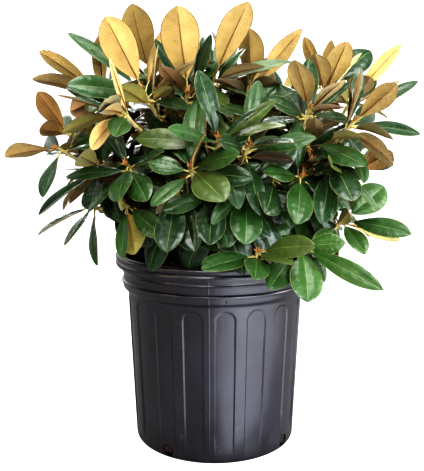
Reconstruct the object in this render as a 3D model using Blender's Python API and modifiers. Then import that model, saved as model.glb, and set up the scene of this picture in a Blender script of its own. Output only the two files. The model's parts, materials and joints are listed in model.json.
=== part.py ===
"""Rhododendron in a round nursery pot: pot, soil, trunk, boughs and masses of foliage.

Every object is one closed solid. Units are metres, +Z is up, and the origin is the middle of
the pot's flat underside. The front of the plant faces -Y.
"""
import math
import random
from collections import namedtuple

import bmesh
import bpy
from mathutils import Matrix, Quaternion, Vector
from mathutils.bvhtree import BVHTree

MM = 0.001
GAP = 0.0003                      # clearance between two pieces that touch
SEED = 31

# ---- pot: a turned shell with sunk, arched panels and four drain notches
RIM_RADIUS = 0.135
POT_HEIGHT = 0.259
BASE_RADIUS = 0.1095
WALL = 0.0026
FLOOR = 0.0035
BASE_CORNER = 0.007               # rounding where the wall meets the underside
LIP_BOTTOM = 0.243
BAND_RADIUS = 0.1245              # plain band between the lip and the bead
BEAD_HEIGHT = 0.2205
BEAD_RADIUS = 0.1268
FLANGE_BOTTOM = 0.2095            # the step under the bead, above the tapered body
BODY_TOP_RADIUS = 0.1185
POT_STEPS = 36

PANEL_COUNT = 18
PANEL_AZIMUTH = -83.5             # of the first panel, in degrees from +X
PANEL_HALF_WIDTH = 0.0138
PANEL_TOP = 0.2035
PANEL_BOTTOM = 0.013
PANEL_DEPTH = 0.0016
PANEL_COLUMNS = 4

NOTCH_COUNT = 4
NOTCH_AZIMUTH = -123.5
NOTCH_RADIUS = 0.0085
NOTCH_HEIGHT = 0.0115             # of the notch's centre above the underside
NOTCH_REACH = 0.012               # how far it runs in from the outer wall

# ---- soil, trunk and boughs
SOIL_TOP = 0.2285
SOIL_CLEARANCE = 0.0004
TRUNK_LEAN = (0.006, 0.004)       # how far the trunk's tip stands off its foot, in X and Y
TRUNK_FOOT_STRAIGHT = 0.004
TRUNK_RADII = (                   # share of the height, then radius
    (0.0, 0.0165), (0.04, 0.0150), (0.14, 0.0118), (0.40, 0.0104), (0.75, 0.0092), (1.0, 0.0080),
)
TRUNK_HEIGHT = 0.106
TRUNK_TOP_SHARE = 0.75            # above this share the trunk counts as straight
BOUGH_BASE_RADIUS = 0.0052
BOUGH_TIP_RADIUS = 0.0036
BOUGH_SHARE = 0.66                # of the way from the trunk to the middle of the mass's shoots
BOUGH_RISE = 0.75                 # slope at which a bough leaves the trunk
BOUGH_NECK = 0.004                # straight start of a bough, so that its flat end faces the trunk
BOUGH_HANDLE = 0.38               # length of its curve's handles, as a share of its span
BOUGH_POINTS = 6

# ---- twigs and leaves
STEM_LENGTH = 0.016
STEM_SWELL = 1.15                 # a stem's end is this much thicker than the twigs that leave it
STEM_FORK = 0.6                   # share of the stem's length at which its twigs leave it
TWIG_BASE_RADIUS = 0.0029
TWIG_TIP_RADIUS = 0.0024
TWIG_START_HANDLE = 0.35          # lengths of a twig's handles, as shares of its span
TWIG_END_HANDLE = 0.30
TWIG_DETOURS = (                  # shifts sideways and up of a twig's curve, tried in turn
    (0, 0), (0, 0.18), (0.18, 0), (-0.18, 0), (0, -0.18), (0.3, 0.2), (-0.3, 0.2),
)
TWIG_POINTS = 5
TWIG_CLEARANCE = 0.001
SHOOT_STRAIGHT = 0.030            # last straight stretch of a twig, which carries the leaves
BUD_LENGTH = 0.007
BUD_RADIUS = 0.0009
NODE_SPACING = 0.0021             # between neighbouring leaf roots along the stem
FIRST_NODE = 0.002
GOLDEN_ANGLE = math.radians(137.508)

LEAF_THICKNESS = 0.0017
LEAF_ROOT_SINK = 0.0012
LEAF_APEX = 0.40                  # share of the length at which the leaf is thickest
LEAF_WIDEST = 0.60                # share of the length at which the blade is widest
STALK_END = 0.16                  # share of the length at which the bare stalk meets the blade
STALK_WIDTH = 0.0030
CLEARANCE_SWELL = 0.0012          # added round a leaf when it is tested against other masses
MIN_LEAF_ANGLE = math.radians(24)
MIN_UPPER = 0.05                  # below this a leaf runs along its shoot, and the sky sets its upper face
LEAF_SHORTER = (1.0, 0.86)        # lengths tried in turn, as shares of the length drawn
LEAF_TURNS = (                    # degrees round the shoot, then degrees raised, tried in turn
    (0, 0), (9, 0), (-9, 0), (0, 9), (0, -9), (18, 6), (-18, 6), (14, -10), (-14, -10),
)

# Habit of a shoot: the whorls that its leaves are dealt to, from the tip down. Each whorl has a
# leaf count, an angle off the shoot's axis, the pull of gravity, leaf length, width over length and
# the angle that the leaf turns through along its midrib.
Whorl = namedtuple("Whorl", "count spread gravity length slenderness turn")
HABITS = {
    "flush": (Whorl(3, 32, 0.0, 0.084, 0.31, 8), Whorl(5, 80, 0.15, 0.096, 0.28, 26)),
    "open": (Whorl(3, 52, 0.05, 0.080, 0.29, 14), Whorl(5, 86, 0.30, 0.096, 0.28, 30)),
    "hanging": (Whorl(3, 62, 0.25, 0.078, 0.32, 20), Whorl(5, 88, 1.15, 0.096, 0.36, 34)),
    "set": (),
}
EXTRA_LEAVES = 2                  # dealt at least to a shoot whose leaves are mostly set by hand
HAND_SET_TURN = 16                # degrees that a leaf set by hand turns through

# A shoot stands at (x, y, z) in millimetres. Its axis leans by `tilt` degrees from upright towards
# `azimuth` (0 is +X, 90 is +Y). The leaves set by hand are (azimuth, rise, length, width, roll);
# the rest of its leaves follow from its habit.
Shoot = namedtuple("Shoot", "x y z azimuth tilt habit leaves")

# Each mass: height on the trunk of its bough in millimetres above the soil, then its shoots.
FRONT_MASSES = {
    "foliage_upper_left": (76, (
        Shoot(-88, -70, 470, 205, 30, "flush", (
            (241, 51, 108, 42, 0), (47, 62, 100, 26, -75), (176, 39, 122, 26, 5), (212, 8, 104, 30, -55),
            (334, 33, 80, 20, -40), (324, -16, 95, 24, 0), (316, -7, 75, 20, 0), (315, 24, 45, 16, -50),
            (85, 55, 50, 18, 0), (151, 23, 60, 18, 0), (230, 20, 66, 28, 10))),
        Shoot(-111, -108, 447, 215, 45, "flush", (
            (262, 8, 70, 28, 0), (192, -18, 76, 28, 40), (244, -27, 80, 22, 70), (251, 13, 60, 22, 0),
            (263, -19, 70, 26, -60))),
        Shoot(-86, 10, 495, 150, 20, "flush", ((246, 56, 101, 40, 0), (78, 35, 82, 24, 0))),
        Shoot(-152, -15, 471, 180, 40, "open", (
            (173, 38, 102, 26, 30), (219, 31, 98, 20, 0), (222, 9, 102, 32, 0), (246, -15, 76, 26, 60),
            (252, -23, 60, 24, -60))),
    )),
    "foliage_top": (106, (
        Shoot(-33, -60, 469, 250, 22, "flush", ((262, 58, 114, 46, 0),)),
        Shoot(-1, -20, 490, 330, 14, "flush", (
            (309, 50, 112, 44, 0), (66, 44, 88, 30, 0), (314, 10, 88, 26, 0), (8, 16, 108, 26, 25),
            (275, -24, 80, 30, 0), (310, -12, 85, 26, 0), (22, 17, 88, 18, 0))),
        Shoot(48, 30, 476, 20, 20, "flush", (
            (264, 61, 90, 38, 0), (6, 48, 112, 34, -50), (293, 10, 80, 28, 0))),
    )),
    "foliage_upper_right": (76, (
        Shoot(115, -80, 447, 300, 26, "flush", (
            (248, 45, 80, 34, 35), (295, 24, 86, 26, 0), (292, 5, 80, 26, 0), (39, -4, 85, 24, 0),
            (231, 12, 86, 22, -45), (226, -4, 90, 22, 0), (117, 38, 76, 28, -20))),
        Shoot(147, 0, 475, 20, 20, "flush", (
            (30, 36, 95, 38, 35), (86, 38, 85, 30, 0), (246, 40, 74, 28, 0), (292, 50, 84, 32, 0))),
        Shoot(190, 50, 462, 20, 34, "flush", (
            (13, 48, 110, 22, -60), (282, 22, 80, 24, 0), (247, 13, 66, 24, 60))),
        Shoot(173, -60, 432, 340, 40, "flush", (
            (297, 26, 95, 26, 0), (17, 30, 110, 20, -25), (11, -4, 95, 24, 25), (294, -8, 90, 26, 0),
            (53, 18, 80, 26, 0), (296, -20, 98, 32, -50), (281, -42, 90, 26, 0))),
    )),
    "foliage_right": (58, (
        Shoot(124, -52, 410, 330, 40, "open", ((307, -19, 104, 34, 50),)),
        Shoot(145, -92, 385, 320, 55, "set", (
            (278, -28, 86, 34, 45), (313, -38, 84, 28, 0), (48, 26, 78, 26, 0), (264, 0, 78, 26, 0),
            (255, -46, 88, 32, 0), (50, -45, 84, 30, 0), (207, -38, 98, 36, 0))),
        Shoot(104, -104, 368, 300, 60, "hanging", ((259, -36, 82, 34, 0),)),
        Shoot(190, -22, 372, 352, 62, "set", (
            (60, 10, 84, 28, 0), (20, 12, 60, 24, 0), (120, 20, 80, 28, 0), (300, 22, 76, 28, 0),
            (235, 20, 70, 28, 0), (85, 4, 80, 30, 0))),
    )),
    "foliage_lower_right": (22, (
        Shoot(159, -100, 315, 322, 52, "set", (
            (42, 24, 90, 38, 0), (314, -3, 95, 26, 40), (288, -27, 66, 24, 30), (338, -12, 74, 22, -60),
            (105, 24, 76, 28, 0), (241, -22, 82, 32, 0), (240, 40, 42, 18, 0), (284, 34, 44, 18, 0),
            (200, 52, 38, 16, 0), (150, 2, 80, 28, 0), (205, -4, 84, 28, 0), (80, 0, 80, 28, 0))),
        Shoot(49, -155, 284, 280, 48, "set", (
            (322, 14, 80, 28, 0), (299, -2, 66, 26, 0), (265, -16, 60, 30, 0), (223, -3, 85, 30, 0),
            (165, 16, 84, 30, 0), (75, 26, 80, 30, 0))),
        Shoot(101, -148, 292, 300, 55, "set", (
            (272, -46, 76, 38, 0), (314, -16, 118, 22, 45), (332, 10, 56, 24, 30), (336, -48, 50, 22, 20),
            (70, 24, 78, 28, 0), (228, -20, 74, 30, 0))),
    )),
    "foliage_front": (76, (
        Shoot(-27, -160, 381, 265, 58, "hanging", (
            (298, -20, 85, 38, 0), (317, 15, 75, 26, 0), (290, 42, 62, 34, -40), (118, 32, 70, 18, 30),
            (172, 14, 52, 22, 0))),
        Shoot(4, -140, 412, 275, 40, "open", ((322, 12, 95, 26, 0), (308, 27, 72, 22, 0))),
        Shoot(38, -134, 404, 290, 48, "open", ((306, 6, 82, 32, 0),)),
        Shoot(-34, -75, 464, 290, 30, "set", (
            (312, -17, 88, 24, 0), (302, 20, 60, 18, 0), (293, -51, 62, 22, 0), (300, -3, 50, 18, 0),
            (120, 34, 76, 26, 0), (60, 25, 80, 26, 0))),
        Shoot(26, -44, 440, 300, 28, "open", ((244, -29, 74, 26, 0),)),
    )),
    "foliage_front_low": (40, (
        Shoot(-45, -120, 353, 255, 66, "hanging", ((260, -55, 82, 36, 0), (300, -56, 80, 36, 0))),
        Shoot(-2, -130, 352, 268, 66, "hanging", ((266, -44, 78, 34, 0), (286, -46, 80, 38, 0))),
        Shoot(36, -126, 354, 282, 66, "hanging", ((271, -45, 80, 38, 0),)),
        Shoot(70, -110, 366, 300, 60, "hanging", ((262, -25, 82, 36, 0),)),
    )),
    "foliage_left": (40, (
        Shoot(-145, -62, 378, 215, 50, "set", (
            (257, 12, 72, 28, 0), (262, -45, 68, 38, 0), (87, 37, 80, 28, 30), (191, -33, 100, 24, 0),
            (300, -40, 84, 30, 0), (330, -10, 84, 30, 0), (30, 0, 80, 28, 0), (140, 25, 76, 26, 0))),
        Shoot(-203, -30, 398, 190, 60, "set", (
            (158, -6, 92, 30, 60), (263, -39, 85, 22, -25), (120, 10, 76, 26, 0), (330, 14, 76, 26, 0),
            (60, 25, 76, 28, 0), (300, 38, 60, 24, 0))),
        Shoot(-196, 0, 418, 170, 40, "set", (
            (227, 47, 72, 26, 0), (225, 10, 48, 26, 0), (110, 20, 80, 28, 0), (50, 34, 80, 28, 0),
            (320, 30, 70, 26, 0), (10, 10, 76, 28, 0))),
        Shoot(-160, -60, 328, 205, 68, "set", (
            (100, 10, 70, 22, 0), (233, -17, 92, 18, -40), (254, -26, 85, 20, -30), (281, -52, 84, 20, 0),
            (120, 20, 80, 30, 0), (80, 0, 76, 28, 0), (310, 6, 62, 28, 0))),
    )),
    "foliage_lower_left": (22, (
        Shoot(-105, -102, 381, 235, 52, "hanging", (
            (267, -28, 76, 32, 0), (294, -27, 76, 30, 0), (311, 17, 70, 26, 0))),
        Shoot(-108, -112, 334, 240, 68, "set", (
            (296, -58, 64, 38, 180), (270, -46, 78, 18, 0), (312, -34, 72, 26, 0),
            (330, -10, 80, 30, 0), (250, 24, 60, 28, 0), (160, -14, 70, 26, 0), (110, 4, 76, 28, 0))),
    )),
}

# The far half of the crown is filled by rule: rings of shoots round the trunk, each ring with a
# height, a distance from the trunk, a tilt and a habit. Each mass has a bough height and takes the
# shoots of the rings that stand at its azimuths.
Ring = namedtuple("Ring", "height radius tilt habit")
RINGS = {
    "low": Ring(326, 168, 66, "hanging"),
    "waist": Ring(390, 150, 34, "open"),
    "middle": Ring(385, 172, 50, "open"),
    "high": Ring(440, 132, 30, "flush"),
    "crown": Ring(476, 66, 14, "flush"),
}
BACK_MASSES = {
    "foliage_back_right": (40, (("low", 8), ("middle", 26), ("low", 40), ("high", 44))),
    "foliage_back_mid_right": (58, (("low", 70), ("middle", 58), ("high", 76), ("middle", 88))),
    "foliage_back_mid_left": (22, (("low", 102), ("middle", 118), ("low", 126), ("high", 110))),
    "foliage_back_left": (58, (("middle", 148), ("high", 144), ("waist", 158), ("waist", 178))),
    "foliage_back_top": (92, (("crown", 65), ("crown", 128))),
}
RING_SCATTER = 9                  # millimetres that a shoot may stand off its ring

SKIN = {
    "black_plastic": ((0.020, 0.019, 0.024), 0.42),
    "bark_mix": ((0.055, 0.035, 0.022), 0.95),
    "old_bark": ((0.20, 0.13, 0.075), 0.85),
    "leaf_green": ((0.045, 0.13, 0.035), 0.45),
}


# ---------------------------------------------------------------- scene helpers

def clear_scene():
    for obj in list(bpy.data.objects):
        bpy.data.objects.remove(obj, do_unlink=True)


def new_collection(name):
    collection = bpy.data.collections.new(name)
    bpy.context.scene.collection.children.link(collection)
    return collection


def make_material(name):
    colour, roughness = SKIN[name]
    material = bpy.data.materials.new(name)
    material.use_nodes = True
    shader = material.node_tree.nodes["Principled BSDF"]
    shader.inputs["Base Color"].default_value = (*colour, 1.0)
    shader.inputs["Roughness"].default_value = roughness
    shader.inputs["Metallic"].default_value = 0.0
    return material


def object_from_bmesh(name, shape, collection):
    mesh = bpy.data.meshes.new(name)
    shape.to_mesh(mesh)
    shape.free()
    obj = bpy.data.objects.new(name, mesh)
    collection.objects.link(obj)
    return obj


def evaluated_mesh(obj):
    depsgraph = bpy.context.evaluated_depsgraph_get()
    depsgraph.update()
    return bpy.data.meshes.new_from_object(obj.evaluated_get(depsgraph), depsgraph=depsgraph)


def shade_round(obj, angle=35):
    obj.data.shade_smooth()
    obj.data.set_sharp_from_angle(angle=math.radians(angle))


def boolean(obj, operation, collection, solver="EXACT"):
    modifier = obj.modifiers.new(operation.lower(), "BOOLEAN")
    modifier.operation = operation
    modifier.operand_type = "COLLECTION"
    modifier.collection = collection
    modifier.solver = solver
    return modifier


def turned(name, profile, steps, collection):
    """Turns a profile of (radius, height) points about Z."""
    shape = bmesh.new()
    points = [shape.verts.new((radius, 0.0, height)) for radius, height in profile]
    for first, second in zip(points, points[1:]):
        shape.edges.new((first, second))
    obj = object_from_bmesh(name, shape, collection)
    screw = obj.modifiers.new("turn", "SCREW")
    screw.steps = steps
    screw.render_steps = steps
    screw.use_merge_vertices = True
    screw.merge_threshold = 0.00001
    return obj


def polar(azimuth, radius, height=0.0):
    angle = math.radians(azimuth)
    return Vector((radius * math.cos(angle), radius * math.sin(angle), height))


def direction(azimuth, rise):
    """Unit vector at an azimuth and a rise above the level, both in degrees."""
    return polar(azimuth, math.cos(math.radians(rise)), math.sin(math.radians(rise)))


# ---------------------------------------------------------------- pot and soil

def body_radius(height):
    """Outer radius of the tapered body at a height."""
    share = (height - BASE_CORNER) / (FLANGE_BOTTOM - BASE_CORNER)
    return BASE_RADIUS + (BODY_TOP_RADIUS - BASE_RADIUS) * share


def pot_profile():
    inner_top = BAND_RADIUS - WALL
    inside = [
        (0.0, FLOOR),
        (BASE_RADIUS - WALL - 0.004, FLOOR),
        (BASE_RADIUS - WALL, FLOOR + 0.004),
        (BODY_TOP_RADIUS - WALL, FLANGE_BOTTOM - 0.002),
        (inner_top, FLANGE_BOTTOM + 0.004),
        (inner_top + 0.003, POT_HEIGHT - 0.001),
    ]
    lip = [
        (RIM_RADIUS - 0.0045, POT_HEIGHT),
        (RIM_RADIUS - 0.0006, POT_HEIGHT - 0.001),
        (RIM_RADIUS, POT_HEIGHT - 0.0035),
        (RIM_RADIUS - 0.0016, POT_HEIGHT - 0.0078),
        (RIM_RADIUS - 0.0006, POT_HEIGHT - 0.0095),
        (RIM_RADIUS - 0.0018, LIP_BOTTOM),
        (BAND_RADIUS + 0.0008, LIP_BOTTOM - 0.001),
    ]
    bead = [
        (BAND_RADIUS + 0.0011, BEAD_HEIGHT + 0.0135),
        (BAND_RADIUS - 0.0004, BEAD_HEIGHT + 0.004),
        (BEAD_RADIUS - 0.0003, BEAD_HEIGHT + 0.0015),
        (BEAD_RADIUS - 0.0006, BEAD_HEIGHT - 0.002),
        (BODY_TOP_RADIUS + 0.0036, FLANGE_BOTTOM + 0.0015),
        (BODY_TOP_RADIUS, FLANGE_BOTTOM),
    ]
    corner = [
        (
            BASE_RADIUS - BASE_CORNER + BASE_CORNER * math.cos(angle),
            BASE_CORNER - BASE_CORNER * math.sin(angle),
        )
        for angle in (math.radians(45 * step) for step in range(3))
    ]
    return inside + lip + bead + corner + [(0.0, 0.0)]


def panel_cutter(index, collection):
    """A curved tile with an arched top that sinks PANEL_DEPTH into the tapered body."""
    shape = bmesh.new()
    bmesh.ops.create_grid(shape, x_segments=PANEL_COLUMNS, y_segments=1, size=1.0)
    extruded = bmesh.ops.extrude_face_region(shape, geom=shape.faces[:])
    for vert in (item for item in extruded["geom"] if isinstance(item, bmesh.types.BMVert)):
        vert.co.z = 1.0
    middle = PANEL_AZIMUTH + index * 360 / PANEL_COUNT
    for vert in shape.verts:
        across = vert.co.x * PANEL_HALF_WIDTH
        arch = math.sqrt(max(PANEL_HALF_WIDTH ** 2 - across ** 2, 0.0))
        height = PANEL_TOP - PANEL_HALF_WIDTH + arch if vert.co.y > 0 else PANEL_BOTTOM
        radius = body_radius(height) + (0.004 if vert.co.z > 0.5 else -PANEL_DEPTH)
        azimuth = middle + math.degrees(across / BODY_TOP_RADIUS)
        vert.co = polar(azimuth, radius, height)
    bmesh.ops.recalc_face_normals(shape, faces=shape.faces[:])
    return object_from_bmesh(f"panel_cutter_{index:02d}", shape, collection)


def notch_cutter(index, collection):
    """A short round bar that cuts a drain hole through the bottom corner."""
    azimuth = NOTCH_AZIMUTH + index * 360 / NOTCH_COUNT
    shape = bmesh.new()
    bmesh.ops.create_cone(
        shape, cap_ends=True, segments=10, radius1=NOTCH_RADIUS, radius2=NOTCH_RADIUS, depth=2 * NOTCH_REACH
    )
    lay_down = Quaternion((0, 1, 0), math.radians(90)).to_matrix().to_4x4()
    turn = Matrix.Rotation(math.radians(azimuth), 4, "Z")
    place = Matrix.Translation(polar(azimuth, BASE_RADIUS, NOTCH_HEIGHT))
    bmesh.ops.transform(shape, matrix=place @ turn @ lay_down, verts=shape.verts[:])
    return object_from_bmesh(f"notch_cutter_{index}", shape, collection)


def hide_cutters(collection):
    for cutter in collection.objects:
        cutter.hide_render = True
        cutter.display_type = "WIRE"


def make_pot(collection, cutters):
    pot = turned("pot", pot_profile(), POT_STEPS, collection)
    for index in range(PANEL_COUNT):
        panel_cutter(index, cutters)
    for index in range(NOTCH_COUNT):
        notch_cutter(index, cutters)
    hide_cutters(cutters)
    boolean(pot, "DIFFERENCE", cutters)
    shade_round(pot)
    pot.data.materials.append(make_material("black_plastic"))
    return pot


def make_soil(collection):
    inset = WALL + SOIL_CLEARANCE
    floor = FLOOR + SOIL_CLEARANCE
    profile = [
        (0.0, SOIL_TOP),
        (BAND_RADIUS - inset - 0.001, SOIL_TOP),
        (BAND_RADIUS - inset, SOIL_TOP - 0.001),
        (BAND_RADIUS - inset, FLANGE_BOTTOM + 0.005),
        (BODY_TOP_RADIUS - inset, FLANGE_BOTTOM - 0.002),
        (BASE_RADIUS - inset, floor + 0.004),
        (BASE_RADIUS - inset - 0.004, floor),
        (0.0, floor),
    ]
    soil = turned("soil", profile, POT_STEPS, collection)
    shade_round(soil)
    soil.data.materials.append(make_material("bark_mix"))
    return soil


# ---------------------------------------------------------------- trunk and boughs

def bezier(start, start_handle, end_handle, end, count):
    points = []
    for step in range(count):
        t = step / (count - 1)
        s = 1.0 - t
        points.append(
            start * s ** 3 + start_handle * 3 * s * s * t + end_handle * 3 * s * t * t + end * t ** 3
        )
    return points


def limb(name, points, radii, sides, collection):
    """A tapering round limb along a line of points, with flat ends."""
    data = bpy.data.curves.new(name, "CURVE")
    data.dimensions = "3D"
    data.bevel_depth = 1.0
    data.bevel_resolution = (sides - 4) // 2
    data.use_fill_caps = True
    spline = data.splines.new("POLY")
    spline.points.add(len(points) - 1)
    for knot, point, radius in zip(spline.points, points, radii):
        knot.co = (*point, 1.0)
        knot.radius = radius
    obj = bpy.data.objects.new(name, data)
    collection.objects.link(obj)
    return obj


def trunk_point(height):
    """A point of the trunk's axis at a height above the soil."""
    share = max(height - TRUNK_FOOT_STRAIGHT, 0.0) / (TRUNK_HEIGHT - TRUNK_FOOT_STRAIGHT)
    bend = share * share
    return Vector((TRUNK_LEAN[0] * bend, TRUNK_LEAN[1] * bend, SOIL_TOP + GAP + height))


def trunk_radius(height):
    share = height / TRUNK_HEIGHT
    for (low, low_radius), (high, high_radius) in zip(TRUNK_RADII, TRUNK_RADII[1:]):
        if share <= high:
            return low_radius + (high_radius - low_radius) * (share - low) / (high - low)
    return TRUNK_RADII[-1][1]


def make_trunk(collection):
    points = [trunk_point(share * TRUNK_HEIGHT) for share, _ in TRUNK_RADII]
    radii = [radius for _, radius in TRUNK_RADII]
    trunk = limb("trunk", points, radii, 12, collection)
    trunk.data.materials.append(make_material("old_bark"))
    return trunk


def shoot_point(shoot):
    return Vector((shoot.x, shoot.y, shoot.z)) * MM


def shoot_axis(shoot):
    return direction(shoot.azimuth, 90 - shoot.tilt)


def ring_shoots(mass_index, places):
    """Shoots of the far half, set on their rings with a small seeded scatter."""
    rng = random.Random(SEED * 100 + mass_index)
    shoots = []
    for ring_name, azimuth in places:
        ring = RINGS[ring_name]
        spot = polar(azimuth, ring.radius + rng.uniform(-RING_SCATTER, RING_SCATTER))
        height = ring.height + rng.uniform(-RING_SCATTER, RING_SCATTER)
        lean = azimuth + rng.uniform(-12, 12)
        shoots.append(Shoot(spot.x, spot.y, height, lean, ring.tilt, ring.habit, ()))
    return tuple(shoots)


def all_masses():
    masses = dict(FRONT_MASSES)
    for mass_index, (name, (height, places)) in enumerate(BACK_MASSES.items()):
        masses[name] = (height, ring_shoots(mass_index, places))
    return masses


def bough_path(height, shoots):
    """Points of the limb from the trunk to where its mass begins.

    The upper edge of its flat start stands GAP off the trunk's side at the given height.
    """
    necks = [shoot_point(shoot) - shoot_axis(shoot) * SHOOT_STRAIGHT for shoot in shoots]
    middle = sum(necks, Vector()) / len(necks)
    height *= MM
    if height >= TRUNK_HEIGHT:
        start_way = (trunk_point(TRUNK_HEIGHT) - trunk_point(TRUNK_HEIGHT * TRUNK_TOP_SHARE)).normalized()
        start = trunk_point(TRUNK_HEIGHT) + start_way * GAP
    else:
        aim = middle - trunk_point(height)
        outward = Vector((aim.x, aim.y, 0.0)).normalized()
        start_way = (outward + Vector((0, 0, BOUGH_RISE))).normalized()
        upper_edge = (Vector((0, 0, 1)) - start_way * start_way.z).normalized()
        contact = trunk_point(height) + outward * (trunk_radius(height) + GAP)
        start = contact - upper_edge * BOUGH_BASE_RADIUS
    end = start.lerp(middle, BOUGH_SHARE)
    end_way = (middle - end).normalized()
    neck = start + start_way * BOUGH_NECK
    handle = (end - neck).length * BOUGH_HANDLE
    return [start] + bezier(neck, neck + start_way * handle, end - end_way * handle, end, BOUGH_POINTS)


def make_bough(name, path, collection):
    last = len(path) - 1
    radii = [
        BOUGH_BASE_RADIUS + (BOUGH_TIP_RADIUS - BOUGH_BASE_RADIUS) * index / last for index in range(last + 1)
    ]
    bough = limb(name, path, radii, 8, collection)
    bough.data.materials.append(make_material("old_bark"))
    return bough


# ---------------------------------------------------------------- what is already placed

Placed = namedtuple("Placed", "mass kind tree")


class Space:
    """Keeps the solids placed so far, so that a new twig or leaf can be tested against them."""

    def __init__(self):
        self.items = []

    def add(self, mass, kind, vertices, faces):
        self.items.append(Placed(mass, kind, BVHTree.FromPolygons(vertices, faces)))

    def add_object(self, obj):
        mesh = evaluated_mesh(obj)
        vertices = [vert.co.copy() for vert in mesh.vertices]
        faces = [tuple(face.vertices) for face in mesh.polygons]
        bpy.data.meshes.remove(mesh)
        self.add("", "solid", vertices, faces)

    def clear_of_others(self, tree, mass):
        """True if a solid of this mass touches nothing that belongs to another node."""
        others = (item for item in self.items if item.mass != mass and item.kind != "blade")
        return not any(item.tree.overlap(tree) for item in others)

    def clear_of_own(self, blade, mass):
        """True if a leaf blade of this mass crosses no twig and no other blade of it."""
        own = (item for item in self.items if item.mass == mass and item.kind in ("twig", "blade"))
        return not any(item.tree.overlap(blade) for item in own)


# ---------------------------------------------------------------- twigs

def twig_shape(points, radii):
    """A three-sided tapering twig as vertices and faces."""
    vertices = []
    faces = []
    side = None
    for index, (point, radius) in enumerate(zip(points, radii)):
        ahead = points[min(index + 1, len(points) - 1)]
        behind = points[max(index - 1, 0)]
        way = (ahead - behind).normalized()
        if side is None:
            side = way.orthogonal().normalized()
        side = (side - way * side.dot(way)).normalized()
        other = way.cross(side)
        for corner in range(3):
            angle = corner * math.tau / 3
            vertices.append(point + (side * math.cos(angle) + other * math.sin(angle)) * radius)
        if index:
            base = 3 * index
            for corner in range(3):
                after = (corner + 1) % 3
                faces.append((base - 3 + corner, base - 3 + after, base + after, base + corner))
    faces.append((2, 1, 0))
    top = 3 * (len(points) - 1)
    faces.append((top, top + 1, top + 2))
    return vertices, faces


def tapered(count, first, last):
    return [first + (last - first) * index / (count - 1) for index in range(count)]


def twig_paths(stem_end, stem_way, shoot):
    """Candidate paths from the mass's stem to a shoot, the plainest first."""
    tip = shoot_point(shoot)
    axis = shoot_axis(shoot)
    neck = tip - axis * SHOOT_STRAIGHT
    span = (neck - stem_end).length
    across = stem_way.cross(neck - stem_end)
    across = across.normalized() if across.length > 1e-6 else stem_way.orthogonal().normalized()
    upward = across.cross((neck - stem_end).normalized())
    for sideways, lift in TWIG_DETOURS:
        shift = (across * sideways + upward * lift) * span
        start_handle = stem_end + stem_way * span * TWIG_START_HANDLE + shift
        end_handle = neck - axis * span * TWIG_END_HANDLE + shift
        curve = bezier(stem_end, start_handle, end_handle, neck, TWIG_POINTS)
        yield curve + [tip, tip + axis * BUD_LENGTH]


# ---------------------------------------------------------------- leaves

Leaf = namedtuple("Leaf", "root chord upper length width turn")


def leaf_point(leaf, share):
    """A point of the midrib, which is an arc that turns through `turn` over the leaf's length."""
    radius = leaf.length / leaf.turn
    half = leaf.turn / 2
    along = radius * (math.sin(half) + math.sin(leaf.turn * share - half))
    above = radius * (math.cos(leaf.turn * share - half) - math.cos(half))
    return leaf.root + leaf.chord * along + leaf.upper * above


def leaf_shape(leaf, thickness=LEAF_THICKNESS, start=None, swell=0.0):
    """A thin solid leaf: a hexagon outline that thins from a ridge on each face to its edge."""
    side = leaf.chord.cross(leaf.upper)
    if start is None:
        root = leaf.root - leaf.chord * LEAF_ROOT_SINK
    else:
        root = leaf_point(leaf, start)
    apex = leaf_point(leaf, LEAF_APEX)
    half = thickness / 2 + swell
    stalk_side = side * (STALK_WIDTH / 2 + swell)
    blade_side = side * (leaf.width / 2 + swell)
    stalk_end = leaf_point(leaf, STALK_END + 0.01)
    widest = leaf_point(leaf, LEAF_WIDEST)
    tip = leaf_point(leaf, 1.0) + leaf.chord * swell
    vertices = [
        root,
        stalk_end - stalk_side,
        widest - blade_side,
        tip,
        widest + blade_side,
        stalk_end + stalk_side,
    ]
    rim = len(vertices)
    vertices += [apex + leaf.upper * half, apex - leaf.upper * half]
    faces = []
    for index in range(rim):
        after = (index + 1) % rim
        faces.append((after, index, rim))
        faces.append((index, after, rim + 1))
    return vertices, faces


def make_leaf(root, chord, axis, length, width, turn, roll):
    """The upper face looks towards the shoot's axis, then the blade is rolled about its chord."""
    upper = axis - chord * axis.dot(chord)
    if upper.length < MIN_UPPER:
        upper = Vector((0, 0, 1)) - chord * chord.z
    upper = Quaternion(chord, math.radians(roll)) @ upper.normalized()
    return Leaf(root, chord, upper, length, width, math.radians(turn))


def leaf_fits(space, mass, leaf):
    wide = BVHTree.FromPolygons(*leaf_shape(leaf, swell=CLEARANCE_SWELL))
    if not space.clear_of_others(wide, mass):
        return False
    blade = BVHTree.FromPolygons(*leaf_shape(leaf, start=STALK_END))
    return space.clear_of_own(blade, mass)


def tries_for(leaf, axis):
    """The leaf as drawn, then turned round its shoot, raised, lowered and shortened."""
    side = leaf.chord.cross(leaf.upper)
    for shorter in LEAF_SHORTER:
        for swing, raise_by in LEAF_TURNS:
            turn = Quaternion(axis, math.radians(swing)) @ Quaternion(side, math.radians(raise_by))
            yield leaf._replace(
                chord=turn @ leaf.chord, upper=turn @ leaf.upper, length=leaf.length * shorter
            )


def place_leaf(space, mass, placed, leaf, axis):
    for candidate in tries_for(leaf, axis):
        if leaf_fits(space, mass, candidate):
            placed.append(candidate)
            space.add(mass, "leaf", *leaf_shape(candidate))
            space.add(mass, "blade", *leaf_shape(candidate, start=STALK_END))
            return True
    return False


def node_root(shoot, node):
    return shoot_point(shoot) - shoot_axis(shoot) * (FIRST_NODE + node * NODE_SPACING)


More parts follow.
